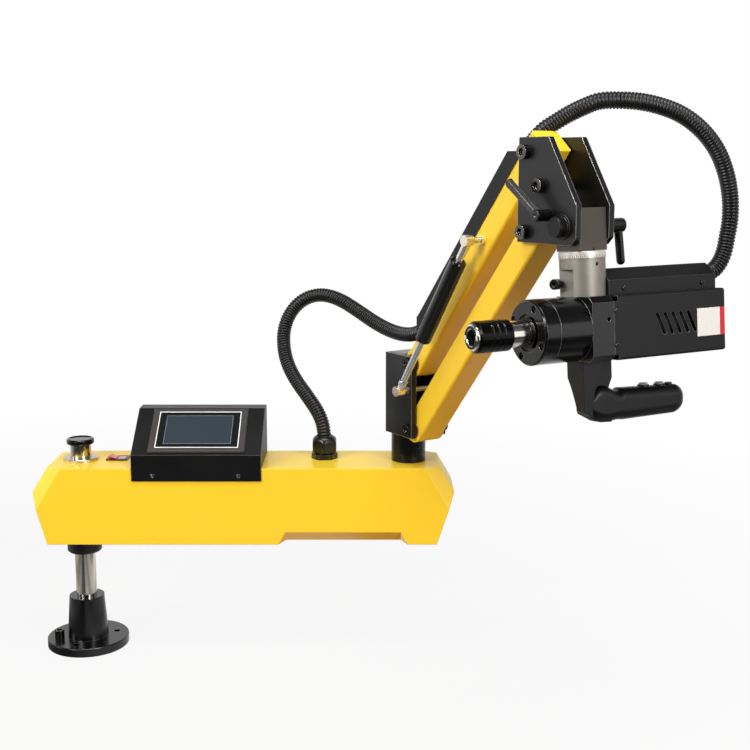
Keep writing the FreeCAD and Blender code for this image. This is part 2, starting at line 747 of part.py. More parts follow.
def power_rocker():
    centre = rocker_axis()
    w = ROCKER_W / 2
    left = V(-w, 0, ROCKER_RISE)
    right = V(w, 0, ROCKER_RISE)
    arc = Part.Arc(left, V(0, 0, ROCKER_MIDDLE), right).toShape()
    sides = Part.makePolygon([right, V(w, 0, -ROCKER_SIDE), V(0, 0, -ROCKER_KEEL),
                              V(-w, 0, -ROCKER_SIDE), left])
    body = Part.Face(Part.Wire([arc] + sides.Edges)).extrude(V(0, ROCKER_D, 0))
    body.translate(V(0, -ROCKER_D / 2, 0))
    hole = rod(ROCKER_PIN_R + RUN, ROCKER_D + 2 * BITE, V(0, -ROCKER_D / 2 - BITE, 0), Y)
    body = body.cut(hole)
    body.rotate(V(0, 0, 0), Y, ROCKER_TIP)
    body.translate(centre)
    return body


# ---- cable gland
def cable_gland():
    base = V(GLAND_X, GLAND_Y, ARM_TOP)
    flange = hexagon(GLAND_AF, GLAND_HEX, base)
    flange = flange.common(rod(GLAND_AF / 2 + GLAND_CHAMFER, GLAND_HEX, base))
    seat = rod(CONDUIT_R + GLAND_WALL, GLAND_SEAT - GLAND_HEX, base + Z * GLAND_HEX)
    depth = ARM_WALL + GLAND_THREAD_L
    thread = rod(GLAND_THREAD_R, depth, base - Z * depth)
    bore = rod(CONDUIT_R - 2 * GLAND_WALL, GLAND_SEAT + depth + 2 * BITE, base - Z * (depth + BITE))
    return join([flange, seat, thread]).cut(bore)


def gland_nut():
    low = GLAND_HEX
    r = GLAND_NUT_R
    top = GLAND_NUT_TOP
    bore = CONDUIT_R + SLIP
    profile = [(CONDUIT_R + GLAND_WALL, low), (r - 1.5, low), (r, low + 1.5), (r - 0.8, top - 12),
               (r - 2.6, top - 3), (r - 4.2, top), (bore, top), (bore, GLAND_SEAT),
               (CONDUIT_R + GLAND_WALL, GLAND_SEAT)]
    nut = turned(profile, V(0, 0, ARM_TOP), Z)
    nut = nut.common(hexagon(2 * r - 1.6, top, V(0, 0, ARM_TOP)))
    nut.translate(V(GLAND_X, GLAND_Y, 0))
    return nut


# ---- conduit
def conduit(route, start_run, end_run):
    # straight runs joined by tangent arcs, from the middle of one run to the middle of another
    edges = []
    corners = {}
    for k in range(1, len(route) - 1):
        before = route[k] - route[k - 1]
        after = route[k + 1] - route[k]
        turn = before.getAngle(after)
        cut = 0.45 * min(before.Length, after.Length)
        radius = cut / math.tan(turn / 2)
        d_in = V(before).normalize()
        d_out = V(after).normalize()
        first = route[k] - d_in * cut
        last = route[k] + d_out * cut
        bisector = (d_out - d_in).normalize()
        middle = route[k] + bisector * (radius / math.cos(turn / 2) - radius)
        corners[k] = (first, middle, last, radius, math.degrees(turn))
    last_run = len(route) - 2
    here = route[0] if start_run == 0 else (route[start_run] + route[start_run + 1]) * 0.5
    stop = route[-1] if end_run == last_run else (route[end_run] + route[end_run + 1]) * 0.5
    for k in range(start_run + 1, end_run + 1):
        first, middle, last, radius, turn = corners[k]
        edges.append(Part.LineSegment(here, first).toShape())
        edges.append(Part.Arc(first, middle, last).toShape())
        here = last
        print("conduit corner", k, "radius", round(radius, 1), "turn", round(turn, 1))
    edges.append(Part.LineSegment(here, stop).toShape())
    path = Part.Wire(edges)
    begin = path.Edges[0].Vertexes[0].Point
    heading = path.Edges[0].tangentAt(path.Edges[0].FirstParameter)
    section = Part.Wire([Part.makeCircle(CONDUIT_R, begin, heading)])
    tube = path.makePipeShell([section], True, False)
    ideal = math.pi * CONDUIT_R ** 2 * path.Length
    print("conduit length", round(path.Length, 1), "volume ratio", round(tube.Volume / ideal, 4))
    return tube


# ---- turret
def swivel_post():
    spigot = rod(SPIGOT_R, ARM_H - SPIGOT_UP, V(0, 0, ARM_Z + SPIGOT_UP))
    edge = 1.0
    profile = [(0, ARM_TOP), (POST_R - edge, ARM_TOP), (POST_R, ARM_TOP + edge),
               (POST_R, POST_TOP), (0, POST_TOP)]
    drum = turned(profile, V(0, 0, 0), Z)
    web = block(TURRET_BACK, WEB_FRONT, -FORK_HALF, FORK_HALF, POST_TOP, TURRET_TOP)
    start = V(POST_R + BITE - POST_GRUB_L, 0, POST_TOP - POST_GRUB_DOWN)
    grub = rod(POST_GRUB_R, POST_GRUB_L, start, X)
    post = join([spigot, drum, web]).cut(grub)
    for z in turret_screw_heights():
        post = post.cut(rod(SCREW_R, FORK, V(0, -FORK_HALF, z), Y))
    return at(post, ARM_FRAME)


def turret_screw_heights():
    return (POST_TOP + TURRET_SCREW_IN, TURRET_TOP - TURRET_SCREW_IN)


def turret_screw_length():
    # from the rear plate through the web into blind threads in the front plate
    return PLATE_OUT + FORK_HALF + PLATE_T - BITE


def turret_plates():
    plates = []
    for side in (-1, 1):
        low = -PLATE_OUT if side < 0 else FORK_HALF
        plate = block(TURRET_BACK, TURRET_FRONT, low, low + PLATE_T, POST_TOP, TURRET_TOP)
        plate = round_edges(plate, 1.0, lambda e: along(e, Y))
        for z in (PIN_LOW_Z, PIN_HIGH_Z):
            plate = plate.cut(rod(PIN_R, PLATE_T + 2 * BITE, V(PIN_A, low - BITE, z), Y))
        for z in turret_screw_heights():
            plate = plate.cut(rod(SCREW_R, turret_screw_length(), V(0, PLATE_OUT, z), -Y))
        stud = rod(GAS_STUD_R, PLATE_T + 2 * BITE, V(GAS_LOW_A, low - BITE, GAS_LOW_Z), Y)
        plates.append(plate.cut(stud))
    return at(Part.makeCompound(plates), ARM_FRAME)


def pivot_pin(a, z):
    # a plain pin through both plates, with a socket screw head outside each plate
    shaft = rod(PIN_R, 2 * PLATE_OUT, V(a, -PLATE_OUT, z), Y)
    heads = []
    for side in (-1, 1):
        outward = Y * side
        head = rod(PIN_HEAD_R, PIN_HEAD_H, V(a, side * PLATE_OUT, z), outward)
        seat = V(a, side * (PLATE_OUT + PIN_SOCKET_AT), z)
        socket = hexagon(SCREW_HEAD_R, SCREW_HEAD_H, seat, outward)
        heads.append(head.cut(socket))
    return join([shaft] + heads)


def turret_pins():
    pins = [pivot_pin(PIN_A, z) for z in (PIN_LOW_Z, PIN_HIGH_Z)]
    return at(Part.makeCompound(pins), ARM_FRAME)


def turret_screws():
    screws = [cap_screw(SCREW_R, turret_screw_length(), SCREW_HEAD_R, SCREW_HEAD_H,
                        V(0, PLATE_OUT, z), Y) for z in turret_screw_heights()]
    return at(Part.makeCompound(screws), ARM_FRAME)


def ball_stud(spot, shank_from, shank_to):
    # a shank along n that ends in a ball at the gas spring's plane
    shank = rod(GAS_STUD_R, shank_to - shank_from, V(spot.x, shank_from, spot.z), Y)
    throat = rod(GAS_THROAT_R, shank_from - GAS_N, V(spot.x, GAS_N, spot.z), Y)
    ball = Part.makeSphere(GAS_BALL_R, V(spot.x, GAS_N, spot.z))
    return join([shank, throat, ball])


def gas_lower():
    return V(GAS_LOW_A, 0, GAS_LOW_Z)


def gas_upper():
    lift = math.radians(LIFT)
    return V(PIN_A + GAS_UPPER_U * math.cos(lift), 0, PIN_HIGH_Z + GAS_UPPER_U * math.sin(lift))


def gas_lower_stud():
    stud = ball_stud(gas_lower(), GAS_N + GAS_CUP_R + GAS_STUD_GAP, PLATE_OUT)
    nut = hexagon(GAS_NUT_AF, GAS_NUT_T, V(GAS_LOW_A, PLATE_OUT, GAS_LOW_Z), Y)
    return at(stud.fuse(nut), ARM_FRAME)


def gas_upper_stud():
    stud = ball_stud(gas_upper(), GAS_N + GAS_CUP_R + GAS_STUD_GAP, -BAR_W / 2)
    start = V(gas_upper().x, -BAR_W / 2 - GAS_NUT_T, gas_upper().z)
    shoulder = rod(GAS_NUT_AF / 2 - 0.5, GAS_NUT_T, start, Y)
    return at(stud.fuse(shoulder), ARM_FRAME)


# ---- gas spring, along its own line from the lower ball
def gas_frame():
    line = gas_upper() - gas_lower()
    return ARM_FRAME.multiply(Placement(V(GAS_LOW_A, GAS_N, GAS_LOW_Z), Rotation(X, line)))


def gas_length():
    return (gas_upper() - gas_lower()).Length


def ball_cup(x, sign):
    # a cup open towards the bar, with a neck towards the spring
    cup = rod(GAS_CUP_R, 2 * GAS_CUP_R - 2, V(x, -GAS_CUP_R, 0), Y)
    neck = rod(GAS_ROD_R, GAS_CUP_R + GAS_NECK_L, V(x, 0, 0), X * sign)
    seat = Part.makeSphere(GAS_BALL_R + RUN, V(x, 0, 0))
    mouth = rod(GAS_MOUTH_R, GAS_CUP_R + BITE, V(x, 0, 0), Y)
    return cup.fuse(neck).cut(seat).cut(mouth)


def gas_rod():
    rod_shape = rod(GAS_ROD_R, GAS_ROD_END - GAS_CUP_R, V(GAS_CUP_R, 0, 0), X)
    collar = rod(GAS_COLLAR_R, GAS_COLLAR_L, V(GAS_CUP_R + GAS_WALL, 0, 0), X)
    cup = ball_cup(0, 1)
    seat = Part.makeSphere(GAS_BALL_R + RUN, V(0, 0, 0))
    return at(join([cup, rod_shape, collar]).cut(seat), gas_frame())


def gas_tube():
    span = gas_length()
    edge = 2.0
    profile = [(GAS_GUIDE_R, GAS_TUBE_FROM), (GAS_TUBE_R - edge, GAS_TUBE_FROM),
               (GAS_TUBE_R, GAS_TUBE_FROM + edge), (GAS_TUBE_R, GAS_TUBE_TO - edge),
               (GAS_TUBE_R - edge, GAS_TUBE_TO), (GAS_ROD_R, GAS_TUBE_TO),
               (GAS_ROD_R, span - GAS_CUP_R), (0, span - GAS_CUP_R), (0, GAS_TUBE_TO - GAS_WALL),
               (GAS_GUIDE_R, GAS_TUBE_TO - GAS_WALL)]
    tube = turned(profile, V(0, 0, 0), X)
    cup = ball_cup(span, -1)
    seat = Part.makeSphere(GAS_BALL_R + RUN, V(span, 0, 0))
    return at(join([tube, cup]).cut(seat), gas_frame())


# ---- parallel bars, each along its own axis from its lower pin
def bar_end_plate_hole():
    return rod(2.0, BAR_WALL + 2 * BITE, V(ARM_L + BAR_TAIL - BAR_WALL - BITE, 0, -8), X)


def bar_outline():
    half_w = BAR_W / 2
    half_h = BAR_H / 2
    outer = block(0, ARM_L + BAR_TAIL, -half_w, half_w, -half_h, half_h)
    outer = round_edges(outer, BAR_CORNER, lambda e: along(e, X))
    cheek = rod(half_h, BAR_W, V(0, -half_w, 0), Y)
    return outer.fuse(cheek).removeSplitter()


def bar():
    half_w = BAR_W / 2
    half_h = BAR_H / 2
    top = ARM_L + BAR_TAIL
    outer = bar_outline()
    hollow = block(BAR_WALL, top - BAR_WALL, -half_w + BAR_WALL, half_w - BAR_WALL,
                   -half_h + BAR_WALL, half_h - BAR_WALL)
    hubs = [rod(BAR_HUB_R, BAR_W - BAR_WALL, V(u, -(BAR_W - BAR_WALL) / 2, 0), Y)
            for u in (0, ARM_L)]
    shape = join([outer.cut(hollow)] + hubs)
    for u in (0, ARM_L):
        shape = shape.cut(rod(BAR_BUSH_R, BAR_W + 2 * BITE, V(u, -half_w - BITE, 0), Y))
    return shape.cut(bar_end_plate_hole())


def bar_frame(pin_z):
    return ARM_FRAME.multiply(Placement(V(0, 0, pin_z), Rotation())).multiply(BAR_FRAME)


def bar_bushes():
    half_w = BAR_W / 2
    flange = FORK_HALF - half_w - SLIP
    bushes = []
    for u in (0, ARM_L):
        for side in (-1, 1):
            barrel = rod(BAR_BUSH_R, BAR_BUSH_L, V(u, side * half_w, 0), Y * -side)
            collar = rod(BAR_BUSH_R + BAR_BUSH_FLANGE, flange, V(u, side * half_w, 0), Y * side)
            start = V(u, side * (half_w - BAR_BUSH_L - BITE), 0)
            bore = rod(PIN_R + RUN, BAR_BUSH_L + flange + 2 * BITE, start, Y * side)
            bushes.append(barrel.fuse(collar).cut(bore))
    return Part.makeCompound(bushes)


def upper_bar():
    shape = bar()
    lift = gas_upper() - V(PIN_A, 0, PIN_HIGH_Z)
    boss = rod(GAS_BOSS_R, BAR_WALL, V(lift.Length, -BAR_W / 2 + BAR_WALL, 0), Y * -1)
    return at(shape.fuse(boss).removeSplitter(), bar_frame(PIN_HIGH_Z))


def cable_cover():
    # a sheet channel over the bar, its lower end cut upright and its upper end cut level
    half = CABLE_COVER_W / 2
    top = BAR_H / 2 + CABLE_COVER_RISE
    low = BAR_H / 2 - CABLE_COVER_LAP
    t = CABLE_COVER_T
    start = -CABLE_COVER_PAST
    end = ARM_L + CABLE_COVER_PAST / 2
    outer = block(start, end, -half, half, low, top)
    outer = round_edges(outer, CABLE_COVER_ROUND,
                        lambda e: along(e, X) and e.BoundBox.ZMin > top - 0.1)
    stop_u = ARM_L - CABLE_STOP_IN
    inner = block(start - BITE, end + BITE, -BAR_W / 2, BAR_W / 2, low - BITE, top - t)
    channel = outer.cut(inner)
    stop = block(stop_u, stop_u + 2, -BAR_W / 2, BAR_W / 2, BAR_H / 2, top - t)
    channel = at(channel.fuse(stop), Placement(V(0, 0, PIN_HIGH_Z), Rotation()).multiply(BAR_FRAME))
    lid_fill = block(start, end, -half, half, BAR_H / 2, top - t / 2)
    lid_fill = at(lid_fill, Placement(V(0, 0, PIN_HIGH_Z), Rotation()).multiply(BAR_FRAME))
    wall_a = CABLE_COVER_LOW_A
    wall = lid_fill.common(block(wall_a, wall_a + 2, -half, half, 0, HEAD_TOP))
    keep = block(wall_a, TILT_A, -2 * half, 2 * half, 0, HEAD_TOP - CABLE_COVER_DROP)
    return at(channel.common(keep).fuse(wall).removeSplitter(), ARM_FRAME)


def conduit_saddle():
    # a rubber stub on the bar's round end, under the conduit
    foot_z = PIN_HIGH_Z + BAR_H / 2
    stub = at(block(PIN_A - 12, PIN_A - 3, -6, 6, foot_z - 6, foot_z + 6), ARM_FRAME)
    return stub.cut(at(bar_outline(), bar_frame(PIN_HIGH_Z)))


# ---- head bracket
def head_plates():
    # the lower outer corner is cut back so that the dial clears it as the tool tilts
    left = HEAD_PIN_A - HEAD_IN
    right = HEAD_PIN_A + HEAD_REACH
    low_z = HEAD_PIN_LOW_Z - HEAD_BELOW
    outline = [(left, low_z), (right - HEAD_CHAMFER, low_z), (right, low_z + HEAD_CHAMFER),
               (right, HEAD_PIN_LOW_Z + HEAD_SHOULDER), (HEAD_PIN_A + HEAD_TOP_OUT, HEAD_TOP),
               (left, HEAD_TOP)]
    plates = []
    for low in (-PLATE_OUT, FORK_HALF):
        plate = prism([V(a, low, z) for a, z in outline], V(0, PLATE_T, 0))
        plate = round_edges(plate, 2.0, lambda e: along(e, Y))
        holes = [(HEAD_PIN_A, HEAD_PIN_LOW_Z, PIN_R), (HEAD_PIN_A, HEAD_PIN_HIGH_Z, PIN_R),
                 (SPACER_A, SPACER_Z, SCREW_R), (TILT_A, TILT_Z, TILT_PIN_R)]
        for a, z, r in holes:
            plate = plate.cut(rod(r, PLATE_T + 2 * BITE, V(a, low - BITE, z), Y))
        if low < 0:
            stud = rod(SCREW_R + RUN, PLATE_T + 2 * BITE, V(LEVER_A, low - BITE, LEVER_Z), Y)
            plate = plate.cut(stud)
        plates.append(plate)
    return at(Part.makeCompound(plates), ARM_FRAME)


def head_pins():
    pins = [rod(PIN_R, 2 * PLATE_OUT, V(HEAD_PIN_A, -PLATE_OUT, z), Y)
            for z in (HEAD_PIN_LOW_Z, HEAD_PIN_HIGH_Z)]
    spacer = rod(SPACER_R, FORK, V(SPACER_A, -FORK_HALF, SPACER_Z), Y)
    for k, (a, z) in enumerate(head_screw_spots()):
        for side in (-1, 1):
            hole = rod(SCREW_R, HEAD_HOLE_IN + PLATE_T, V(a, side * (PLATE_OUT + BITE), z), Y * -side)
            if k < 2:
                pins[k] = pins[k].cut(hole)
            else:
                spacer = spacer.cut(hole)
    return at(Part.makeCompound(pins + [spacer]), ARM_FRAME)


def head_screw_spots():
    return ((HEAD_PIN_A, HEAD_PIN_LOW_Z), (HEAD_PIN_A, HEAD_PIN_HIGH_Z), (SPACER_A, SPACER_Z))


def head_screws():
    screws = []
    for a, z in head_screw_spots():
        for side in (-1, 1):
            screws.append(cap_screw(SCREW_R, PLATE_T + HEAD_SCREW_IN, HEAD_SCREW_R, SCREW_HEAD_H,
                                    V(a, side * PLATE_OUT, z), Y * side))
    return at(Part.makeCompound(screws), ARM_FRAME)


def tilt_pivot():
    edge = 1.0
    disc = [(0, 0), (TILT_DISC_R, 0), (TILT_DISC_R, TILT_DISC_T - edge),
            (TILT_DISC_R - edge, TILT_DISC_T), (0, TILT_DISC_T)]
    start = -PLATE_OUT - TILT_WASHER_T
    head = turned(disc, V(TILT_A, start, TILT_Z), -Y)
    washer = rod(TILT_WASHER_R, TILT_WASHER_T, V(TILT_A, start, TILT_Z), Y)
    shaft = rod(TILT_PIN_R, 2 * PLATE_OUT, V(TILT_A, -PLATE_OUT, TILT_Z), Y)
    thread = rod(TILT_THREAD_R, TILT_THREAD_L, V(TILT_A, PLATE_OUT, TILT_Z), Y)
    return at(join([head, washer, shaft, thread]), ARM_FRAME)


def lever_blade(root, heading):
    # a flat handle that widens towards its rounded end
    w0 = LEVER_ROOT_W / 2
    w1 = LEVER_TIP_W / 2
    half = LEVER_T / 2
    blade = prism([V(0, -half, -w0), V(LEVER_L, -half, -w1), V(LEVER_L, -half, w1),
                   V(0, -half, w0)], V(0, LEVER_T, 0))
    blade = round_edges(blade, w1 * 0.6, lambda e: along(e, Y) and e.BoundBox.XMin > LEVER_L - 1)
    blade.Placement = Placement(root, Rotation(X, heading))
    return blade


def front_lever():
    base = V(LEVER_A, -PLATE_OUT - SLIP, LEVER_Z)
    hub = rod(LEVER_HUB_R, LEVER_HUB_L, base, -Y)
    hub = round_edges(hub, 1.2, lambda e: e.BoundBox.YMax < -PLATE_OUT - LEVER_HUB_L + 0.2)
    socket = hexagon(LEVER_HUB_R * 0.6, LEVER_T, base - Y * (LEVER_HUB_L - 2), -Y)
    stud = rod(SCREW_R, PLATE_T + SLIP, base, Y)
    blade = lever_blade(base - Y * (LEVER_HUB_L - LEVER_T), V(-0.75, -0.12, 0.62))
    return at(join([hub, stud, blade]).cut(socket), ARM_FRAME)


def rear_lever():
    base = V(TILT_A, PLATE_OUT + SLIP, TILT_Z)
    edge = 3.0
    profile = [(0, 0), (REAR_HUB_R, 0), (REAR_HUB_R, REAR_HUB_L - edge),
               (REAR_HUB_R - edge, REAR_HUB_L), (0, REAR_HUB_L)]
    hub = turned(profile, base, Y)
    heading = V(0.06, 0.1, -1).normalize()
    root = base + Y * (REAR_HUB_L - REAR_HUB_R)
    knob = root + heading * (REAR_LEVER_L - REAR_LEVER_R)
    arm = rod(REAR_LEVER_R, REAR_LEVER_L - REAR_LEVER_R, root, heading)
    thread = rod(TILT_THREAD_R + RUN, TILT_THREAD_L + SLIP, base - Y * SLIP, Y)
    return at(join([hub, arm, Part.makeSphere(REAR_LEVER_R, knob)]).cut(thread), ARM_FRAME)


# ---- tilt block and swivel, from the tilt pivot
def tilt_block():
    body = block(-BLOCK_A, BLOCK_A, -BLOCK_N, BLOCK_N, -BLOCK_DOWN, BLOCK_UP)
    body = round_edges(body, 1.0, lambda e: along(e, Z))
    body = body.cut(rod(TILT_PIN_R + RUN, 2 * BLOCK_N + 2 * BITE, V(0, -BLOCK_N - BITE, 0), Y))
    face = BLOCK_A - POINTER_CUT
    pointer = prism([V(face, -POINTER_W / 2, -BLOCK_DOWN), V(face, POINTER_W / 2, -BLOCK_DOWN),
                     V(face, 0, -BLOCK_DOWN + POINTER_H)], V(POINTER_CUT + BITE, 0, 0))
    socket = rod(SWIVEL_PIN_R, SWIVEL_PIN_IN, V(0, 0, -BLOCK_DOWN), Z)
    return at(body.cut(pointer).cut(socket), TILT_FRAME)


def swivel_spigot():
    edge = 1.5
    low = -SWIVEL_PIN_END
    high = -BLOCK_DOWN + SWIVEL_PIN_IN
    profile = [(0, low), (SWIVEL_PIN_R - edge, low), (SWIVEL_PIN_R, low + edge),
               (SWIVEL_PIN_R, high), (0, high)]
    return at(turned(profile, V(0, 0, 0), Z), TILT_FRAME)


# ---- tool head, about the spindle
def dial_ring():
    edge = 0.8
    bore = SWIVEL_PIN_R + SLIP
    top = DIAL_T
    profile = [(bore, 0), (DIAL_R, 0), (DIAL_R, top - edge), (DIAL_R - edge, top), (bore, top)]
    return at(turned(profile, V(0, 0, COLLAR_TOP), Z), TOOL_FRAME)


def swivel_collar():
    height = COLLAR_TOP - GEAR_HALF
    collar = ring(COLLAR_TOOL_R, SWIVEL_PIN_R + RUN, height, V(0, 0, GEAR_HALF))
    low = GEAR_HALF - BITE
    top = COLLAR_TOP - CLAMP_LEDGE
    reach = COLLAR_TOOL_R + BITE
    split = block(-SPLIT / 2, SPLIT / 2, -reach, 0, low, top)
    corner = block(CLAMP_SEAT, reach, -reach, CLAMP_EDGE, low, top)
    thread = rod(SCREW_R, 2 * reach, V(-reach, -CLAMP_OFF, (low + top) / 2), X)
    turned_tools = []
    for tool in (split, corner, thread):
        tool.rotate(V(0, 0, 0), Z, CLAMP_TURN)
        turned_tools.append(tool)
    start = V(COLLAR_TOOL_R - SET_SCREW_IN, 0, COLLAR_TOP - SET_SCREW_DOWN)
    grub = rod(SET_SCREW_R, SET_SCREW_L, start, X)
    grub.rotate(V(0, 0, 0), Z, SET_SCREW_TURN)
    for tool in turned_tools + [grub]:
        collar = collar.cut(tool)
    return at(collar, TOOL_FRAME)


def clamp_screw():
    # drawn out a little from its seat, so its shank shows
    z = (GEAR_HALF - BITE + COLLAR_TOP - CLAMP_LEDGE) / 2
    seat = V(CLAMP_SEAT + CLAMP_OUT, -CLAMP_OFF, z)
    length = CLAMP_SEAT + CLAMP_OUT + CLAMP_SHANK
    screw = cap_screw(SCREW_R, length, CLAMP_SCREW_R, SCREW_HEAD_H, seat, X)
    screw.rotate(V(0, 0, 0), Z, CLAMP_TURN)
    return screw


def gearbox_body():
    front = rod(GEAR_R, GEAR_CAP_FROM - GEAR_BLOCK_FRONT, V(GEAR_BLOCK_FRONT, 0, 0), X)
    rear = block(GEAR_BLOCK_BACK, GEAR_BLOCK_FRONT, -GEAR_HALF, GEAR_HALF, -GEAR_HALF, GEAR_HALF)
    rear = rear.makeChamfer(GEAR_CHAMFER, [e for e in rear.Edges if along(e, X)])
    body = join([front, rear])
    body = body.cut(rod(GEAR_R - GEAR_WALL, GEAR_CAP_FROM - GEAR_BLOCK_FRONT + BITE,
                        V(GEAR_BLOCK_FRONT, 0, 0), X))
    seat = rod(COLLAR_TOOL_R + SLIP, GEAR_CHAMFER, V(0, 0, GEAR_HALF))
    oiler = rod(OILER_R, OILER_IN + BITE, V(OILER_X, GEAR_HALF - OILER_IN, OILER_Z), Y)
    return at(body.cut(seat).cut(oiler), TOOL_FRAME)


def cap_screw_spots():
    return [on_circle(CAP_SCREW_R, CAP_SCREW_FIRST + 90 * k, 0) for k in range(4)]


def gearbox_cap():
    edge = 2.0
    profile = [(SPINDLE_R + RUN, GEAR_CAP_FROM), (GEAR_R, GEAR_CAP_FROM),
               (GEAR_R, GEAR_CAP_TO - edge), (GEAR_R - edge, GEAR_CAP_TO),
               (NUT_WELL_R, GEAR_CAP_TO), (NUT_WELL_R, GEAR_CAP_TO - NUT_WELL),
               (SPINDLE_R + RUN, GEAR_CAP_TO - NUT_WELL)]
    cap = turned(profile, V(0, 0, 0), X)
    for spot in cap_screw_spots():
        through = GEAR_CAP_TO - GEAR_CAP_FROM + 2 * BITE
        cap = cap.cut(rod(CAP_SHANK_R, through, V(GEAR_CAP_FROM - BITE, spot.x, spot.y), X))
        seat = V(GEAR_CAP_TO - CAP_SCREW_SINK, spot.x, spot.y)
        cap = cap.cut(rod(CAP_HOLE_R, CAP_SCREW_SINK + BITE, seat, X))
    return at(cap, TOOL_FRAME)


def spindle():
    edge = 1.5
    rear = GEAR_CAP_FROM - SPINDLE_IN
    profile = [(0, rear), (SPINDLE_R - edge, rear), (SPINDLE_R, rear + edge),
               (SPINDLE_R, SPINDLE_TIP - edge),
               (SPINDLE_R - edge, SPINDLE_TIP), (CHUCK_BORE_R + 0.8, SPINDLE_TIP),
               (CHUCK_BORE_R, SPINDLE_TIP - 0.8), (CHUCK_BORE_R, SPINDLE_TIP - CHUCK_BORE_L),
               (0, SPINDLE_TIP - CHUCK_BORE_L)]
    return at(turned(profile, V(0, 0, 0), X), TOOL_FRAME)


def spindle_nut():
    start = GEAR_CAP_TO - NUT_WELL
    nut = ring(SPINDLE_NUT_R, SPINDLE_R, SPINDLE_NUT_T, V(start + SLIP, 0, 0), X)
    for k in range(NUT_SLOTS):
        slot = block(start, start + 2 * SPINDLE_NUT_T, -NUT_SLOT_W / 2, NUT_SLOT_W / 2,
                     SPINDLE_NUT_R - NUT_SLOT_IN, SPINDLE_NUT_R + BITE)
        slot.rotate(V(0, 0, 0), X, 360 * (k + 0.5) / NUT_SLOTS)
        nut = nut.cut(slot)
    return at(nut, TOOL_FRAME)


def chuck_sleeve():
    r = SLEEVE_R
    bore = SPINDLE_R + RUN
    edge = 2.2
    deep = r - SLEEVE_GROOVE
    bevel = 0.2 * SLEEVE_GROOVE_W
    profile = [(bore, SLEEVE_FROM), (r - bevel, SLEEVE_FROM), (r, SLEEVE_FROM + bevel)]
    for k in range(SLEEVE_GROOVES):
        x = SLEEVE_FROM + SLEEVE_GROOVE_FIRST + k * SLEEVE_GROOVE_PITCH
        end = x + SLEEVE_GROOVE_W
        profile += [(r, x), (deep, x + bevel), (deep, end - bevel), (r, end)]
    profile += [(r, SLEEVE_TO - edge), (r - edge, SLEEVE_TO), (bore, SLEEVE_TO)]
    return at(turned(profile, V(0, 0, 0), X), TOOL_FRAME)


# ---- motor
def servo_motor():
    rear = MOTOR_BACK + MOTOR_CAN_GAP
    can = rod(MOTOR_CAN_R, GEAR_BLOCK_BACK - rear, V(rear, 0, 0), X)
    half = MOTOR_CAN_R + MOTOR_FLANGE_OVER
    flange = block(GEAR_BLOCK_BACK - MOTOR_FLANGE_T, GEAR_BLOCK_BACK, -half, half, -half, half)
    return at(can.fuse(flange), TOOL_FRAME)


def louvre(k):
    # a leaning slot with round ends, cut through the cover's side
    top = V(LOUVRE_FIRST - k * LOUVRE_PITCH, MOTOR_HALF - MOTOR_SHEET - BITE, LOUVRE_TOP)
    low = V(top.x - LOUVRE_LEAN, top.y, LOUVRE_LOW)
    across = (top - low).cross(Y).normalize() * LOUVRE_R
    depth = MOTOR_SHEET + 2 * BITE
    slot = prism([top + across, low + across, low - across, top - across], Y * depth)
    return join([slot, rod(LOUVRE_R, depth, top, Y), rod(LOUVRE_R, depth, low, Y)])


def motor_cover():
    m = MOTOR_HALF
    t = MOTOR_SHEET
    box = block(MOTOR_BACK, MOTOR_FRONT, -m, m, -m, m)
    box = round_edges(box, MOTOR_ROUND, lambda e: along(e, X) or
                      (along(e, Y) and e.BoundBox.XMax < MOTOR_BACK + 1))
    cavity = block(MOTOR_BACK + t, MOTOR_FRONT + BITE, -m + t, m - t, -m + t, m - t)
    shell = box.cut(cavity)
    tabs = []
    for side in (-1, 1):
        y0 = m - t if side > 0 else -m
        tabs.append(block(MOTOR_FRONT - BITE, GEAR_BLOCK_BACK, y0, y0 + t, -TAB_HALF, TAB_HALF))
    shell = join([shell] + tabs)
    for k in range(LOUVRES):
        shell = shell.cut(louvre(k)).cut(louvre(k).mirror(V(0, 0, 0), Y))
    return at(shell, TOOL_FRAME)


def wiring_section(inset):
    low = MOTOR_HALF - (BITE if inset else 0)
    points = [(WIRE_HALF - inset, low), (WIRE_HALF - inset, WIRE_SIDE_TOP - inset * 0.6),
              (WIRE_FLAT_HALF - inset * 0.5, WIRE_TOP - inset),
              (-WIRE_FLAT_HALF + inset * 0.5, WIRE_TOP - inset),
              (-WIRE_HALF + inset, WIRE_SIDE_TOP - inset * 0.6), (-WIRE_HALF + inset, low)]
    length = WIRE_FRONT - WIRE_BACK - 2 * inset
    return prism([V(WIRE_BACK + inset, y, z) for y, z in points], V(length, 0, 0))


def wiring_cover():
    cover = wiring_section(0)
    cover = cover.cut(rod(COLLAR_TOOL_R + SLIP, WIRE_TOP, V(0, 0, MOTOR_HALF - BITE)))
    inside = wiring_section(WIRE_SHEET)
    wall = rod(COLLAR_TOOL_R + SLIP + WIRE_SHEET, WIRE_TOP, V(0, 0, MOTOR_HALF - 2 * BITE))
    inside = inside.cut(wall)
    return at(cover.cut(inside), TOOL_FRAME)


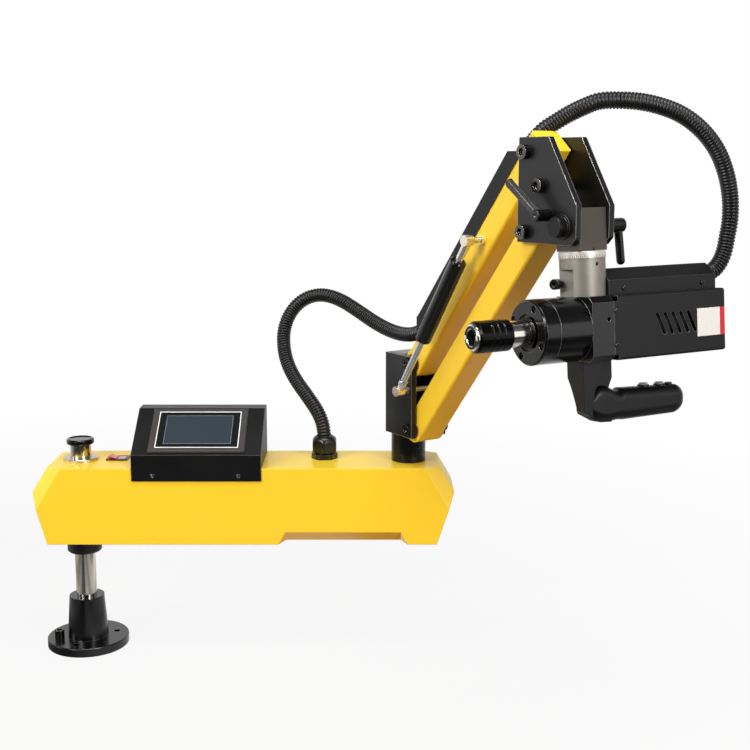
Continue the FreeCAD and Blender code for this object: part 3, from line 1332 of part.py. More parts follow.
def tool_screws():
    screws = []
    screws.append(clamp_screw())
    for spot in cap_screw_spots():
        seat = V(GEAR_CAP_TO - CAP_SCREW_SINK, spot.x, spot.y)
        screws.append(cap_screw(CAP_SHANK_R, CAP_SHANK_L, CAP_HEAD_R, CAP_HEAD_H, seat, X))
    for x in WIRE_SCREW_X:
        for side in (-1, 1):
            seat = V(x, side * WIRE_HALF, WIRE_SCREW_Z)
            screws.append(rod(SHEET_SCREW_R, SHEET_SCREW_H, seat, Y * side))
    for z in (-TAB_SCREW_Z, TAB_SCREW_Z):
        screws.append(rod(SHEET_SCREW_R, SHEET_SCREW_H, V(TAB_SCREW_X, MOTOR_HALF, z), Y))
    return at(Part.makeCompound(screws), TOOL_FRAME)


# ---- handle
def sole_point(x):
    # on the sloping face under the column
    rise = (HANDLE_LOW - HANDLE_FRONT_LOW) / (HANDLE_FRONT - HANDLE_TOE)
    return V(x, 0, -HANDLE_LOW + rise * (x - HANDLE_TOE))


def handle_column():
    # its flat side ends in an edge that curves forward, its far front edge curves in
    half = HANDLE_HALF
    back = Part.Arc(sole_point(HANDLE_SIDE_BACK), V(-1.4, 0, -75),
                    V(HANDLE_BACK, 0, -HANDLE_SIDE_TURN)).toShape()
    front = Part.makePolygon([V(HANDLE_BACK, 0, -HANDLE_SIDE_TURN), V(HANDLE_BACK, 0, -GEAR_HALF),
                              V(HANDLE_FRONT, 0, -GEAR_HALF),
                              sole_point(HANDLE_FRONT), sole_point(HANDLE_SIDE_BACK)])
    side_view = Part.Face(Part.Wire([back] + front.Edges)).extrude(V(0, 2 * half, 0))
    side_view.translate(V(0, -half, 0))
    low = -HANDLE_LOW - BITE
    far = Part.Arc(V(0, -half, -59), V(0, -6.5, -77), V(0, 0, -94)).toShape()
    rest = Part.makePolygon([V(0, 0, -94), V(0, 0, low), V(0, half, low), V(0, half, -GEAR_HALF),
                             V(0, -half, -GEAR_HALF), V(0, -half, -59)])
    front_view = Part.Face(Part.Wire([far] + rest.Edges)).extrude(V(2 * HANDLE_FRONT, 0, 0))
    front_view.translate(V(-HANDLE_FRONT, 0, 0))
    return side_view.common(front_view)


def handle_sole():
    # the sloping face under the column, with its slot
    half = GRIP_HALF * SOLE_SHARE
    start = sole_point(HANDLE_SIDE_BACK)
    front = sole_point(HANDLE_SIDE_BACK + 4)
    points = [front + Z * 16, front, sole_point(HANDLE_TOE), V(GRIP_ROOT, 0, -GRIP_LOW),
              V(GRIP_ROOT, 0, -GRIP_LOW + 30)]
    sole = prism([p - V(0, half, 0) for p in points], V(0, 2 * half, 0))
    slope = V(HANDLE_TOE - HANDLE_FRONT, 0, HANDLE_FRONT_LOW - HANDLE_LOW)
    slot = block(-BITE, SOLE_SLOT_L - BITE, SOLE_SLOT_Y, SOLE_SLOT_Y + SOLE_SLOT_W,
                 -SOLE_SLOT_DEEP, SOLE_SLOT_DEEP)
    slot.Placement = Placement(start, Rotation(X, slope))
    return sole, slot


def handle_rib():
    profile = [V(HANDLE_BACK + 3, 0, -GEAR_HALF), V(RIB_BACK, 0, -GEAR_HALF),
               V(RIB_BACK, 0, -RIB_LOW), V(GRIP_ROOT + 3, 0, -GRIP_TOP - 2),
               V(HANDLE_BACK + 3, 0, -GRIP_TOP - 6)]
    return prism([p - V(0, RIB_HALF, 0) for p in profile], V(0, 2 * RIB_HALF, 0))


def grip_top(x):
    return -GRIP_TOP - GRIP_FALL * (GRIP_ROOT - x)


def grip_section(x, half_y, low, top):
    # a flattened round: straight sides with full round edges
    r = min(half_y, (top - low) / 2) * 0.85
    face = block(x, x + 1, -half_y, half_y, low, top)
    face = round_edges(face, r, lambda e: along(e, X))
    outline = [f for f in face.Faces if f.BoundBox.XMax < x + 0.01][0]
    return outline.OuterWire


def handle_grip():
    # swells into the column's foot, runs level and ends in a rounded nose
    low = -GRIP_LOW
    half = GRIP_HALF
    root = [(HANDLE_FRONT - 6, 6, low + 13, low + 26), (HANDLE_SIDE_BACK, half - 3.5, low + 9.5, low + 32),
            (HANDLE_TOE, half - 0.5, low + 1.2, low + 45), (GRIP_ROOT - 3, half, low, grip_top(GRIP_ROOT)),
            (GRIP_ROOT - 18, half, low, grip_top(GRIP_ROOT - 18))]
    nose_x = GRIP_END + 14
    nose = [(nose_x, half, low + 0.5, grip_top(nose_x)),
            (GRIP_END + 6, half - 1.5, low + 3.5, grip_top(nose_x) - 1),
            (GRIP_END, half - 6, low + 9, grip_top(nose_x) - 7)]
    lofts = [Part.makeLoft([grip_section(*s) for s in root], True),
             Part.makeLoft([grip_section(*root[-1]), grip_section(*nose[0])], True),
             Part.makeLoft([grip_section(*s) for s in nose], True)]
    return lofts[0].multiFuse(lofts[1:])


def button_axis(x):
    return V(x, 0, grip_top(x) - BUTTON_SEAT)


def handle():
    sole, slot = handle_sole()
    body = join([handle_column(), sole, handle_rib(), handle_grip()])
    for x in BUTTON_X:
        rim = rod(BUTTON_R + BUTTON_RIM, BUTTON_SEAT + BUTTON_RIM_H, button_axis(x))
        body = body.fuse(rim)
    body = body.fuse(rod(BUMP_R, BUMP_H + BUTTON_SEAT, button_axis(BUMP_X)))
    body = body.removeSplitter()
    for x in BUTTON_X:
        body = body.cut(rod(BUTTON_R + 2 * RUN, 2 * BUTTON_SEAT, button_axis(x)))
    return at(body.cut(slot), TOOL_FRAME)


def push_button(x):
    base = button_axis(x) + Z * BUTTON_LIFT
    top = BUTTON_SEAT + BUTTON_PROUD - BUTTON_LIFT
    profile = [(0, 0), (BUTTON_R, 0), (BUTTON_R, top - 1), (BUTTON_R - 1, top), (0, top)]
    return at(turned(profile, base, Z), TOOL_FRAME)


def bar_bushes_at(pin_z):
    return at(bar_bushes(), bar_frame(pin_z))


def parts():
    return {
        "foot_flange": foot_flange(),
        "foot_screw": foot_screw(),
        "column": column(),
        "column_collar": column_collar(),
        "column_cap": column_cap(),
        "base_arm_shell": base_arm_shell(),
        "base_cover": base_cover(),
        "bearing_cap": bearing_cap(),
        "column_bushes": bushes_in_arm(0, COLUMN_R),
        "post_bushes": bushes_in_arm(POST_X, SPIGOT_R),
        "console_housing": console_housing(),
        "console_screws": console_screws(),
        "hmi_bezel": hmi_bezel(),
        "hmi_screen": hmi_screen(),
        "switch_bezel": switch_bezel(),
        "power_rocker": power_rocker(),
        "cable_gland": cable_gland(),
        "gland_nut": gland_nut(),
        "drive_unit": drive_unit(),
        "base_conduit": conduit(LOWER_ROUTE, 0, 11),
        "base_conduit_end": conduit(LOWER_ROUTE, 11, 17),
        "swivel_post": swivel_post(),
        "turret_plates": turret_plates(),
        "turret_pins": turret_pins(),
        "turret_screws": turret_screws(),
        "gas_lower_stud": gas_lower_stud(),
        "gas_upper_stud": gas_upper_stud(),
        "gas_rod": gas_rod(),
        "gas_tube": gas_tube(),
        "upper_bar": upper_bar(),
        "upper_bar_bushes": bar_bushes_at(PIN_HIGH_Z),
        "lower_bar": at(bar(), bar_frame(PIN_LOW_Z)),
        "lower_bar_bushes": bar_bushes_at(PIN_LOW_Z),
        "cable_cover": cable_cover(),
        "conduit_saddle": conduit_saddle(),
        "head_plates": head_plates(),
        "head_pins": head_pins(),
        "head_screws": head_screws(),
        "tilt_pivot": tilt_pivot(),
        "front_lever": front_lever(),
        "rear_lever": rear_lever(),
        "head_conduit": conduit(UPPER_ROUTE, 0, 6),
        "head_conduit_mid": conduit(UPPER_ROUTE, 6, 13),
        "head_conduit_end": conduit(UPPER_ROUTE, 13, 21),
        "tilt_block": tilt_block(),
        "swivel_spigot": swivel_spigot(),
        "dial_ring": dial_ring(),
        "swivel_collar": swivel_collar(),
        "gearbox_body": gearbox_body(),
        "gearbox_cap": gearbox_cap(),
        "servo_motor": servo_motor(),
        "motor_cover": motor_cover(),
        "wiring_cover": wiring_cover(),
        "tool_screws": tool_screws(),
        "handle": handle(),
        "spindle": spindle(),
        "spindle_nut": spindle_nut(),
        "chuck_sleeve": chuck_sleeve(),
        "start_button": push_button(BUTTON_X[0]),
        "reverse_button": push_button(BUTTON_X[1]),
    }


os.makedirs("parts", exist_ok=True)
for name, shape in parts().items():
    shape.exportStep("parts/" + name + ".step")
    print(name, "solids", len(shape.Solids), "valid", shape.isValid(), "volume", round(shape.Volume))
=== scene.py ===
# %% [markdown]
# # An arm tapping machine
# A tapping machine is a geared motor with a quick-change chuck that cuts screw threads. It hangs
# on a parallel-link arm, so the tap stays square to the work wherever the hand puts it. The
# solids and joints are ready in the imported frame. This lesson dresses them: the corrugated
# conduits, the paints and metals, the touch screen, the scale of the swivel and other small things.

import math

import bmesh
import bpy
from mathutils import Matrix, Vector


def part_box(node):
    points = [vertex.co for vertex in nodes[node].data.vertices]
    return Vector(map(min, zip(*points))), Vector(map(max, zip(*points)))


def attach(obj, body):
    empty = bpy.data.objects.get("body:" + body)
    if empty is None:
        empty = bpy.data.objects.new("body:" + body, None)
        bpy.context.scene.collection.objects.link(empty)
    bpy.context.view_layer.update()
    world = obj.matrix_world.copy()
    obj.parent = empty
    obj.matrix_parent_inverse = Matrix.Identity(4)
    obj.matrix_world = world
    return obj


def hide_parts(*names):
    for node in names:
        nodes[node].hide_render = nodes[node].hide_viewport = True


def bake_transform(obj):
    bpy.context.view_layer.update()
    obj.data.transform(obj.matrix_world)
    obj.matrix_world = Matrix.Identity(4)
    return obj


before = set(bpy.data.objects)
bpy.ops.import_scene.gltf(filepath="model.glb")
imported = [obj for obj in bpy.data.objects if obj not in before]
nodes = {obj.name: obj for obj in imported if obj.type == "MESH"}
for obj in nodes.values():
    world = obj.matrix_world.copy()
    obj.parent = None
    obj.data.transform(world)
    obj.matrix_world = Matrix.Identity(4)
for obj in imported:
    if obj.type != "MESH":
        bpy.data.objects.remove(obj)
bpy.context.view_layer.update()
MM = 0.001
print("solids loaded:", len(nodes))

# %% [markdown]
# ## Camera
# A long lens from the front, a little above the arm, keeps the uprights parallel. It could look
# down more steeply, but then the round foot and the console would show too much of their tops.

# %% Camera
LENS = 57.6
CAMERA_PLACE = (0.4302, -1.7094, 0.7070)
CAMERA_TIP = 80.076
stage_items = bpy.context.scene.collection
camera_data = bpy.data.cameras.new("camera")
camera_data.lens = LENS
camera = bpy.data.objects.new("camera", camera_data)
camera.location = CAMERA_PLACE
camera.rotation_euler = (math.radians(CAMERA_TIP), 0, 0)
stage_items.objects.link(camera)
bpy.context.scene.camera = camera
bpy.context.scene.view_settings.view_transform = "Standard"
print("camera at", CAMERA_PLACE)

# %% [markdown]
# ## Corrugated conduit
# Both cables run in black polyamide conduit, a tube of rings that bends without kinking. A curve
# with a round bevel would be smooth, so the tube is swept here ring by ring: the line comes from
# a NURBS curve through listed points, and the radius rises and falls along it. The conduit
# crosses five joints, so it is cut into five stretches, each across one joint.

# %% Conduit routes
# control points in metres, each moved until the curve lay right
LOWER_ROUTE = [
    (0.356, 0.012, 0.299), (0.356, 0.012, 0.324), (0.348, 0.020, 0.347), (0.331, 0.038, 0.368),
    (0.312, 0.059, 0.389), (0.298, 0.078, 0.411), (0.291, 0.095, 0.435), (0.291, 0.108, 0.461),
    (0.301, 0.116, 0.486), (0.321, 0.117, 0.506), (0.348, 0.111, 0.514), (0.376, 0.097, 0.508),
    (0.402, 0.077, 0.494), (0.426, 0.054, 0.480), (0.446, 0.033, 0.471), (0.464, 0.014, 0.4665),
    (0.479, -0.004, 0.467), (0.4926, -0.0206, 0.4721), (0.5036, -0.0371, 0.4814)]
UPPER_ROUTE = [
    (0.61779, -0.20698, 0.7273), (0.62736, -0.21329, 0.73986), (0.63622, -0.21707, 0.75008),
    (0.64954, -0.21871, 0.75843), (0.66574, -0.22417, 0.7685), (0.684, -0.23726, 0.7775),
    (0.6984, -0.2444, 0.7829), (0.722, -0.25, 0.7831), (0.747, -0.249, 0.7815),
    (0.771, -0.2445, 0.7765), (0.794, -0.239, 0.769), (0.815, -0.2335, 0.757),
    (0.834, -0.227, 0.741), (0.85, -0.219, 0.722), (0.8615, -0.212, 0.7),
    (0.869, -0.2055, 0.679), (0.8732, -0.2005, 0.659), (0.8745, -0.1975, 0.638),
    (0.8717, -0.1964, 0.617), (0.8686, -0.198, 0.598), (0.861, -0.2018, 0.583),
    (0.8494, -0.2077, 0.5737), (0.83653, -0.21427, 0.57349)]


def smooth_line(route):
    curve = bpy.data.curves.new("route", "CURVE")
    curve.dimensions = "3D"
    spline = curve.splines.new("NURBS")
    spline.points.add(len(route) - 1)
    for point, place in zip(spline.points, route):
        point.co = (*place, 1)
    spline.order_u = 3
    spline.use_endpoint_u = True
    spline.resolution_u = 20
    holder = bpy.data.objects.new("route", curve)
    stage_items.objects.link(holder)
    mesh = bpy.data.meshes.new_from_object(holder)
    line = [v.co.copy() for v in mesh.vertices]
    bpy.data.objects.remove(holder)
    bpy.data.curves.remove(curve)
    bpy.data.meshes.remove(mesh)
    return line


def along(route, count):
    # 11.5 is halfway between the points 11 and 12
    whole = int(count)
    return Vector(route[whole]).lerp(Vector(route[whole + 1]), count - whole)


lower_line = smooth_line(LOWER_ROUTE)
upper_line = smooth_line(UPPER_ROUTE)
print("points on the lines:", len(lower_line), len(upper_line))

# %% [markdown]
# ## Rings of the conduit
# The tube is swept by hand: the line is walked in small equal steps, and at each step a ring of
# points is placed square to it. The radius follows a short list of heights that repeats with the
# pitch of the rings. Turning the last direction into the next one keeps the tube from twisting.

# %% Conduit tubes
RING_PITCH = 4.2 * MM
# radii in millimetres over one pitch, from groove to crest and back
RING_PROFILE = [9.2, 9.8, 10.4, 10.5, 10.4, 9.8]
SIDES = 28


def piece_from(name, mesh_builder):
    mesh = bpy.data.meshes.new(name)
    mesh_builder.to_mesh(mesh)
    mesh_builder.free()
    piece = bpy.data.objects.new(name, mesh)
    stage_items.objects.link(piece)
    return piece


def shade_smooth(piece, angle=35):
    for face in piece.data.polygons:
        face.use_smooth = True
    piece.data.set_sharp_from_angle(angle=math.radians(angle))


def walk(line, spacing):
    # points at an even spacing along the line, with the direction at each
    places = []
    due = 0.0
    done = 0.0
    for a, b in zip(line, line[1:]):
        length = (b - a).length
        while length > 0 and due <= done + length:
            places.append((a.lerp(b, (due - done) / length), (b - a).normalized()))
            due += spacing
        done += length
    return places


def conduit_tube(name, places, first):
    builder = bmesh.new()
    heading = places[0][1]
    across = heading.orthogonal().normalized()
    rings = []
    for k, (place, direction) in enumerate(places):
        across.rotate(heading.rotation_difference(direction))
        heading = direction
        up = direction.cross(across)
        radius = RING_PROFILE[(first + k) % len(RING_PROFILE)] * MM
        ring = []
        for j in range(SIDES):
            angle = 2 * math.pi * j / SIDES
            outward = across * math.cos(angle) + up * math.sin(angle)
            ring.append(builder.verts.new(place + outward * radius))
        rings.append(ring)
    for low, high in zip(rings, rings[1:]):
        for j in range(SIDES):
            after = (j + 1) % SIDES
            builder.faces.new((low[j], low[after], high[after], high[j]))
    builder.faces.new(rings[0][::-1])
    builder.faces.new(rings[-1])
    tube = piece_from(name, builder)
    shade_smooth(tube, 60)
    return tube


# %% [markdown]
# ## Stretches
# Each stretch stands for one plain tube of the solids, which it hides, and lies between the two
# bodies that it joins. The ends of two stretches meet at the same ring, and the seam between them
# doesn't open.


def conduit(line, route, stretches):
    # stretches: name, where on the route it ends or None for the route's end, bodies it joins
    step = RING_PITCH / len(RING_PROFILE)
    places = walk(line, step)
    start = 0
    made = []
    for name, count, near, far in stretches:
        stop = len(places) - 1
        if count is not None:
            target = along(route, count)
            stop = min(range(len(places)), key=lambda k: (places[k][0] - target).length)
            stop -= stop % len(RING_PROFILE)
        part = places[start:stop + 1]
        tube = conduit_tube(name + "_tube", part, start)
        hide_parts(name)
        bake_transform(tube)
        made.append(tube)
        start = stop
    return made


conduits = conduit(lower_line, LOWER_ROUTE, [
    ("base_conduit", 11.5, "base_arm", "turret"),
    ("base_conduit_end", None, "turret", "upper_bar")])
conduits += conduit(upper_line, UPPER_ROUTE, [
    ("head_conduit", 7.1, "upper_bar", "head"),
    ("head_conduit_mid", 13.5, "head", "tilt_block"),
    ("head_conduit_end", None, "tilt_block", "tool")])

# %% [markdown]
# ## Adding nodes
# The light and every finish are small trees of nodes. One function adds a node, sets it and links
# its inputs, so that a tree reads from top to bottom. Colours are written as they look on a screen
# and turned into linear light; typed in unchanged they would come out too pale.

# %% Adding nodes
def add(material, kind, inputs=None, **settings):
    # inputs go by name, or by number where two share a name: 6 and 7 are a Mix node's colours
    tree = material.node_tree
    made = tree.nodes.new("ShaderNode" + kind)
    for key, value in settings.items():
        setattr(made, key, value)
    for key, value in (inputs or {}).items():
        if isinstance(value, bpy.types.NodeSocket):
            tree.links.new(value, made.inputs[key])
        else:
            made.inputs[key].default_value = value
    return made


def linear(text):
    channels = []
    for k in (1, 3, 5):
        value = int(text[k:k + 2], 16) / 255
        channels.append(value / 12.92 if value <= 0.04045 else ((value + 0.055) / 1.055) ** 2.4)
    return (*channels, 1)


print("white is", linear("#FFFFFF")[:3])

# %% [markdown]
# ## Floor
# Black machinery is drawn by what it reflects, so the floor plays three parts. It shows white to
# the camera with a faint shadow in it. The light it throws back up is a warm grey, so that the
# undersides stay deep. In reflections it is dark in front and bright behind, in broken bands, as
# white and black cards laid round a product would be.

# %% Floor
FLOOR_RADIUS = 12.0
SHADOW_NEAR, SHADOW_FAR = 0.4, 2.0
DARK_FRONT, BRIGHT_BACK = -0.7, 0.6
CARD_SCALE = 5.0
floor_builder = bmesh.new()
bmesh.ops.create_circle(floor_builder, cap_ends=True, radius=FLOOR_RADIUS, segments=96)
floor = piece_from("floor", floor_builder)
floor_paint = bpy.data.materials.new("matt_white_floor")
floor_paint.use_nodes = True
floor_paint.node_tree.nodes.clear()
floor_ray = add(floor_paint, "LightPath")
floor_tone = add(floor_paint, "Mix", {
    "Factor": floor_ray.outputs["Is Diffuse Ray"], 6: linear("#A09E9A"), 7: linear("#B08A5C")},
    data_type="RGBA")
floor_matt = add(floor_paint, "BsdfDiffuse", {"Color": floor_tone.outputs[2]})
floor_white = add(floor_paint, "Emission", {"Color": (1, 1, 1, 1), "Strength": 1.0})
floor_place = add(floor_paint, "TexCoord")
floor_far = add(floor_paint, "VectorMath", {0: floor_place.outputs["Object"]}, operation="LENGTH")
floor_fade = add(floor_paint, "MapRange", {
    "Value": floor_far.outputs["Value"], "From Min": SHADOW_NEAR, "From Max": SHADOW_FAR,
    "To Min": 0.90, "To Max": 1.0}, interpolation_type="SMOOTHSTEP")
floor_share = add(floor_paint, "Math", {
    0: floor_ray.outputs["Is Camera Ray"], 1: floor_fade.outputs["Result"]}, operation="MULTIPLY")
floor_shown = add(floor_paint, "MixShader", {
    0: floor_share.outputs[0], 1: floor_matt.outputs[0], 2: floor_white.outputs[0]})
floor_parts = add(floor_paint, "SeparateXYZ", {0: floor_place.outputs["Object"]})
floor_back = add(floor_paint, "MapRange", {
    "Value": floor_parts.outputs["Y"], "From Min": DARK_FRONT, "From Max": BRIGHT_BACK,
    "To Min": 0.04, "To Max": 0.85})
floor_cards = add(floor_paint, "TexNoise", {
    "W": floor_parts.outputs["X"], "Scale": CARD_SCALE, "Detail": 0.0}, noise_dimensions="1D")
floor_bands = add(floor_paint, "MapRange", {
    "Value": floor_cards.outputs[0], "From Min": 0.4, "From Max": 0.6,
    "To Min": 0.3, "To Max": 1.6})
floor_strength = add(floor_paint, "Math", {
    0: floor_back.outputs["Result"], 1: floor_bands.outputs["Result"]}, operation="MULTIPLY")
floor_mirrored = add(floor_paint, "Emission", {
    "Color": (1, 1, 1, 1), "Strength": floor_strength.outputs[0]})
floor_mix = add(floor_paint, "MixShader", {
    0: floor_ray.outputs["Is Glossy Ray"], 1: floor_shown.outputs[0],
    2: floor_mirrored.outputs[0]})
add(floor_paint, "OutputMaterial", {"Surface": floor_mix.outputs[0]})
floor.data.materials.append(floor_paint)
print("floor radius", FLOOR_RADIUS, "m")

# %% [markdown]
# ## Surroundings
# The sky is plain white to the camera. To everything else it is a grey that rises from nearly
# black on the viewer's side to bright behind, and falls again overhead, which keeps sloping black
# panels black. A gradient by direction does this without any picture.

# %% Surroundings
world = bpy.data.worlds.new("studio")
bpy.context.scene.world = world
world.use_nodes = True
world.node_tree.nodes.clear()
sky_place = add(world, "TexCoord")
sky_parts = add(world, "SeparateXYZ", {0: sky_place.outputs["Generated"]})
sky_front = add(world, "MapRange", {
    "Value": sky_parts.outputs["Y"], "From Min": -0.55, "From Max": 0.25,
    "To Min": 0.03, "To Max": 1.0}, interpolation_type="SMOOTHSTEP")
sky_high = add(world, "MapRange", {
    "Value": sky_parts.outputs["Z"], "From Min": 0.3, "From Max": 0.8,
    "To Min": 1.0, "To Max": 0.1}, interpolation_type="SMOOTHSTEP")
sky_grey = add(world, "Math", {
    0: sky_front.outputs["Result"], 1: sky_high.outputs["Result"]}, operation="MULTIPLY")
sky_ray = add(world, "LightPath")
sky_level = add(world, "Mix", {
    "Factor": sky_ray.outputs["Is Camera Ray"], "A": sky_grey.outputs[0], "B": 1.0},
    data_type="FLOAT")
sky_light = add(world, "Background", {
    "Color": (1, 1, 1, 1), "Strength": sky_level.outputs["Result"]})
add(world, "OutputWorld", {"Surface": sky_light.outputs[0]})
print("world nodes:", len(world.node_tree.nodes))

# %% [markdown]
# ## Lamps
# Two large lamps stand to the left and right of the viewer, so that the fronts are lit evenly and
# no glossy front mirrors a lamp. One from above lights the tops, a dim card on the right gives the
# right-hand faces their grey, and a narrow strip on the left draws a thin line on round parts.

# %% Lamps
def soft_lamp(name, place, aim, size, power):
    data = bpy.data.lights.new(name, "AREA")
    data.shape = "RECTANGLE"
    data.size, data.size_y = size
    data.energy = power
    lamp = bpy.data.objects.new(name, data)
    lamp.location = place
    lamp.rotation_euler = (Vector(aim) - Vector(place)).to_track_quat("-Z", "Y").to_euler()
    stage_items.objects.link(lamp)


soft_lamp("key_lamp", (-1.5, -2.2, 1.8), (0.4, 0, 0.4), (1.2, 1.2), 66)
soft_lamp("side_lamp", (2.1, -2.4, 1.4), (0.5, -0.1, 0.45), (0.8, 1.3), 44)
soft_lamp("top_lamp", (0.4, -0.8, 2.5), (0.4, 0, 0.4), (1.8, 0.5), 40)
soft_lamp("right_card", (2.6, -1.3, 0.7), (0.5, 0, 0.4), (1.0, 1.6), 6)
soft_lamp("strip_lamp", (-1.9, -0.4, 0.7), (0.4, 0, 0.4), (0.15, 1.4), 6)
print("lamps: 5")

# %% [markdown]
# ## Paints, metals and plastics
# Every finish starts from what the real one is. Paint on folded sheet has a faint orange peel
# and gathers thinner on the edges, turned steel keeps the lines of the tool, and black oxide lets
# the metal show through where hands and spanners rub. The edge is softened in the shader, which
# reads the angle between the true face and a rounded one, so each edge also catches the light.
# Some finishes also paint a paler colour on the edges as a highlight: the yellow enamel and the
# turned metals.

# %% Shared steps of a finish
AXIS_Z = (0, 0, 1)
# cosines of the turn from the true to the rounded face where the edge mask starts and is full
MASK_START, MASK_FULL = 0.97, 0.80


def finish(name, colour, roughness, metallic=0.0, **shader):
    material = bpy.data.materials.new(name)
    material.use_nodes = True
    material.node_tree.nodes.clear()
    body = add(material, "BsdfPrincipled", {
        "Base Color": linear(colour), "Roughness": roughness, "Metallic": metallic, **shader})
    add(material, "OutputMaterial", {"Surface": body.outputs[0]})
    return material, body


def soft_edges(material, radius_mm):
    # the face's direction with its edges rounded, and a mask that is 1 on the edges
    rounded = add(material, "Bevel", {"Radius": radius_mm * MM}, samples=8)
    true_face = add(material, "NewGeometry")
    same = add(material, "VectorMath", {
        0: rounded.outputs[0], 1: true_face.outputs["Normal"]}, operation="DOT_PRODUCT")
    mask = add(material, "MapRange", {
        "Value": same.outputs["Value"], "From Min": MASK_START, "From Max": MASK_FULL})
    return rounded.outputs[0], mask.outputs[0]


# %% [markdown]
# ## Paint on metal
# Paint and powder are sprayed and baked. They dry with a faint orange peel, which a bump from a
# noise as wide as the peel gives, and they gather thinner on edges, where the coat below or the
# bare metal shows. On the yellow enamel the paler edge colour is a painted highlight instead.
# A picture of wear would need each solid unwrapped; the edge mask doesn't.

# %% Paint on metal
# noises per metre: patches of gloss about 55 mm wide, and spots about 9 mm wide that break up the
# worn edges and the painted edge highlight
GLOSS_PATCHES = 18
EDGE_SPOTS = 110


def painted(name, colour, edge_colour, roughness, peel_mm, peel_depth, edge_mm=0.8, wear_and_highlight=0.6,
            bare=0.0, **shader):
    # paint on metal: a faint orange peel, clouds in the gloss, thinner or worn bare on the edges,
    # and on the yellow enamel a painted highlight along them
    material, body = finish(name, colour, roughness, **shader)
    links = material.node_tree.links
    normal, edge = soft_edges(material, edge_mm)
    place = add(material, "TexCoord").outputs["Object"]
    clouds = add(material, "TexNoise", {"Vector": place, "Scale": GLOSS_PATCHES, "Detail": 2})
    gloss = add(material, "MapRange", {
        "Value": clouds.outputs[0], "From Min": 0.3, "From Max": 0.7,
        "To Min": roughness - 0.03, "To Max": roughness + 0.04})
    links.new(gloss.outputs[0], body.inputs["Roughness"])
    edge_spots = add(material, "TexNoise", {"Vector": place, "Scale": EDGE_SPOTS, "Detail": 3})
    wear_and_highlight_share = add(material, "MapRange", {
        "Value": edge_spots.outputs[0], "From Min": 0.35, "From Max": 0.65,
        "To Min": wear_and_highlight * 0.5, "To Max": wear_and_highlight})
    # the edge colour goes on through this mask: worn edges on the black coats, a painted highlight
    # on the yellow enamel
    wear_and_highlight_edge = add(material, "Math", {0: edge, 1: wear_and_highlight_share.outputs[0]}, operation="MULTIPLY")
    tone = add(material, "Mix", {
        "Factor": wear_and_highlight_edge.outputs[0], 6: linear(colour), 7: linear(edge_colour)}, data_type="RGBA")
    links.new(tone.outputs[2], body.inputs["Base Color"])
    if bare:
        metal = add(material, "Math", {0: wear_and_highlight_edge.outputs[0], 1: bare}, operation="MULTIPLY")
        links.new(metal.outputs[0], body.inputs["Metallic"])
    peel = add(material, "TexNoise", {"Vector": place, "Scale": 1 / (peel_mm * MM), "Detail": 1.5})
    bump = add(material, "Bump", {
        "Height": peel.outputs[0], "Distance": peel_depth * MM, "Normal": normal})
    links.new(bump.outputs[0], body.inputs["Normal"])
    return material


# %% [markdown]
# ## Turned and ground metal
# A lathe or a grinding wheel leaves fine rings round the axis of a part. A noise that reads only
# the distance along that axis draws them, in the colour, the gloss and the bump alike. Every edge
# is also paled towards a light grey, a painted highlight on the rims.

# %% Turned and ground metal
# smears of oil and handling, about 14 mm wide
SMEARS = 70


def turned_metal(name, colour, dark_colour, roughness, axis, line_mm=0.5, metallic=1.0,
                 edge_mm=0.5, depth=0.002, rim_highlight_share=0.4):
    # metal with the fine rings that a lathe or a grinding wheel leaves round an axis, and a painted
    # highlight on its edges
    material, body = finish(name, colour, roughness, metallic)
    links = material.node_tree.links
    normal, edge = soft_edges(material, edge_mm)
    place = add(material, "TexCoord").outputs["Object"]
    down_axis = add(material, "VectorMath", {0: place, 1: axis}, operation="DOT_PRODUCT")
    lines = add(material, "TexNoise", {
        "W": down_axis.outputs["Value"], "Scale": 1 / (line_mm * MM), "Detail": 4.0},
        noise_dimensions="1D")
    smears = add(material, "TexNoise", {"Vector": place, "Scale": SMEARS, "Detail": 3})
    shade = add(material, "Math", {0: lines.outputs[0], 1: smears.outputs[0]}, operation="MULTIPLY")
    share = add(material, "MapRange", {
        "Value": shade.outputs[0], "From Min": 0.15, "From Max": 0.5, "To Max": 0.5})
    tone = add(material, "Mix", {
        "Factor": share.outputs[0], 6: linear(colour), 7: linear(dark_colour)}, data_type="RGBA")
    # a light grey painted on every edge as a highlight on the rims
    rim = add(material, "Math", {0: edge, 1: rim_highlight_share}, operation="MULTIPLY")
    rim_highlighted = add(material, "Mix", {
        "Factor": rim.outputs[0], 6: tone.outputs[2], 7: linear("#E6E4DF")}, data_type="RGBA")
    links.new(rim_highlighted.outputs[2], body.inputs["Base Color"])
    rough = add(material, "MapRange", {
        "Value": lines.outputs[0], "From Min": 0.2, "From Max": 0.8,
        "To Min": roughness - 0.04, "To Max": roughness + 0.06})
    links.new(rough.outputs[0], body.inputs["Roughness"])
    bump = add(material, "Bump", {
        "Height": lines.outputs[0], "Distance": depth * MM, "Normal": normal})
    links.new(bump.outputs[0], body.inputs["Normal"])
    return material


# %% [markdown]
# ## Moulded plastic
# Moulded plastic and rubber take their fine grain from a spark-eroded mould, and the gloss drifts
# a little where the plastic flowed.

# %% Moulded plastic
# flow marks about 25 mm wide
FLOW_MARKS = 40


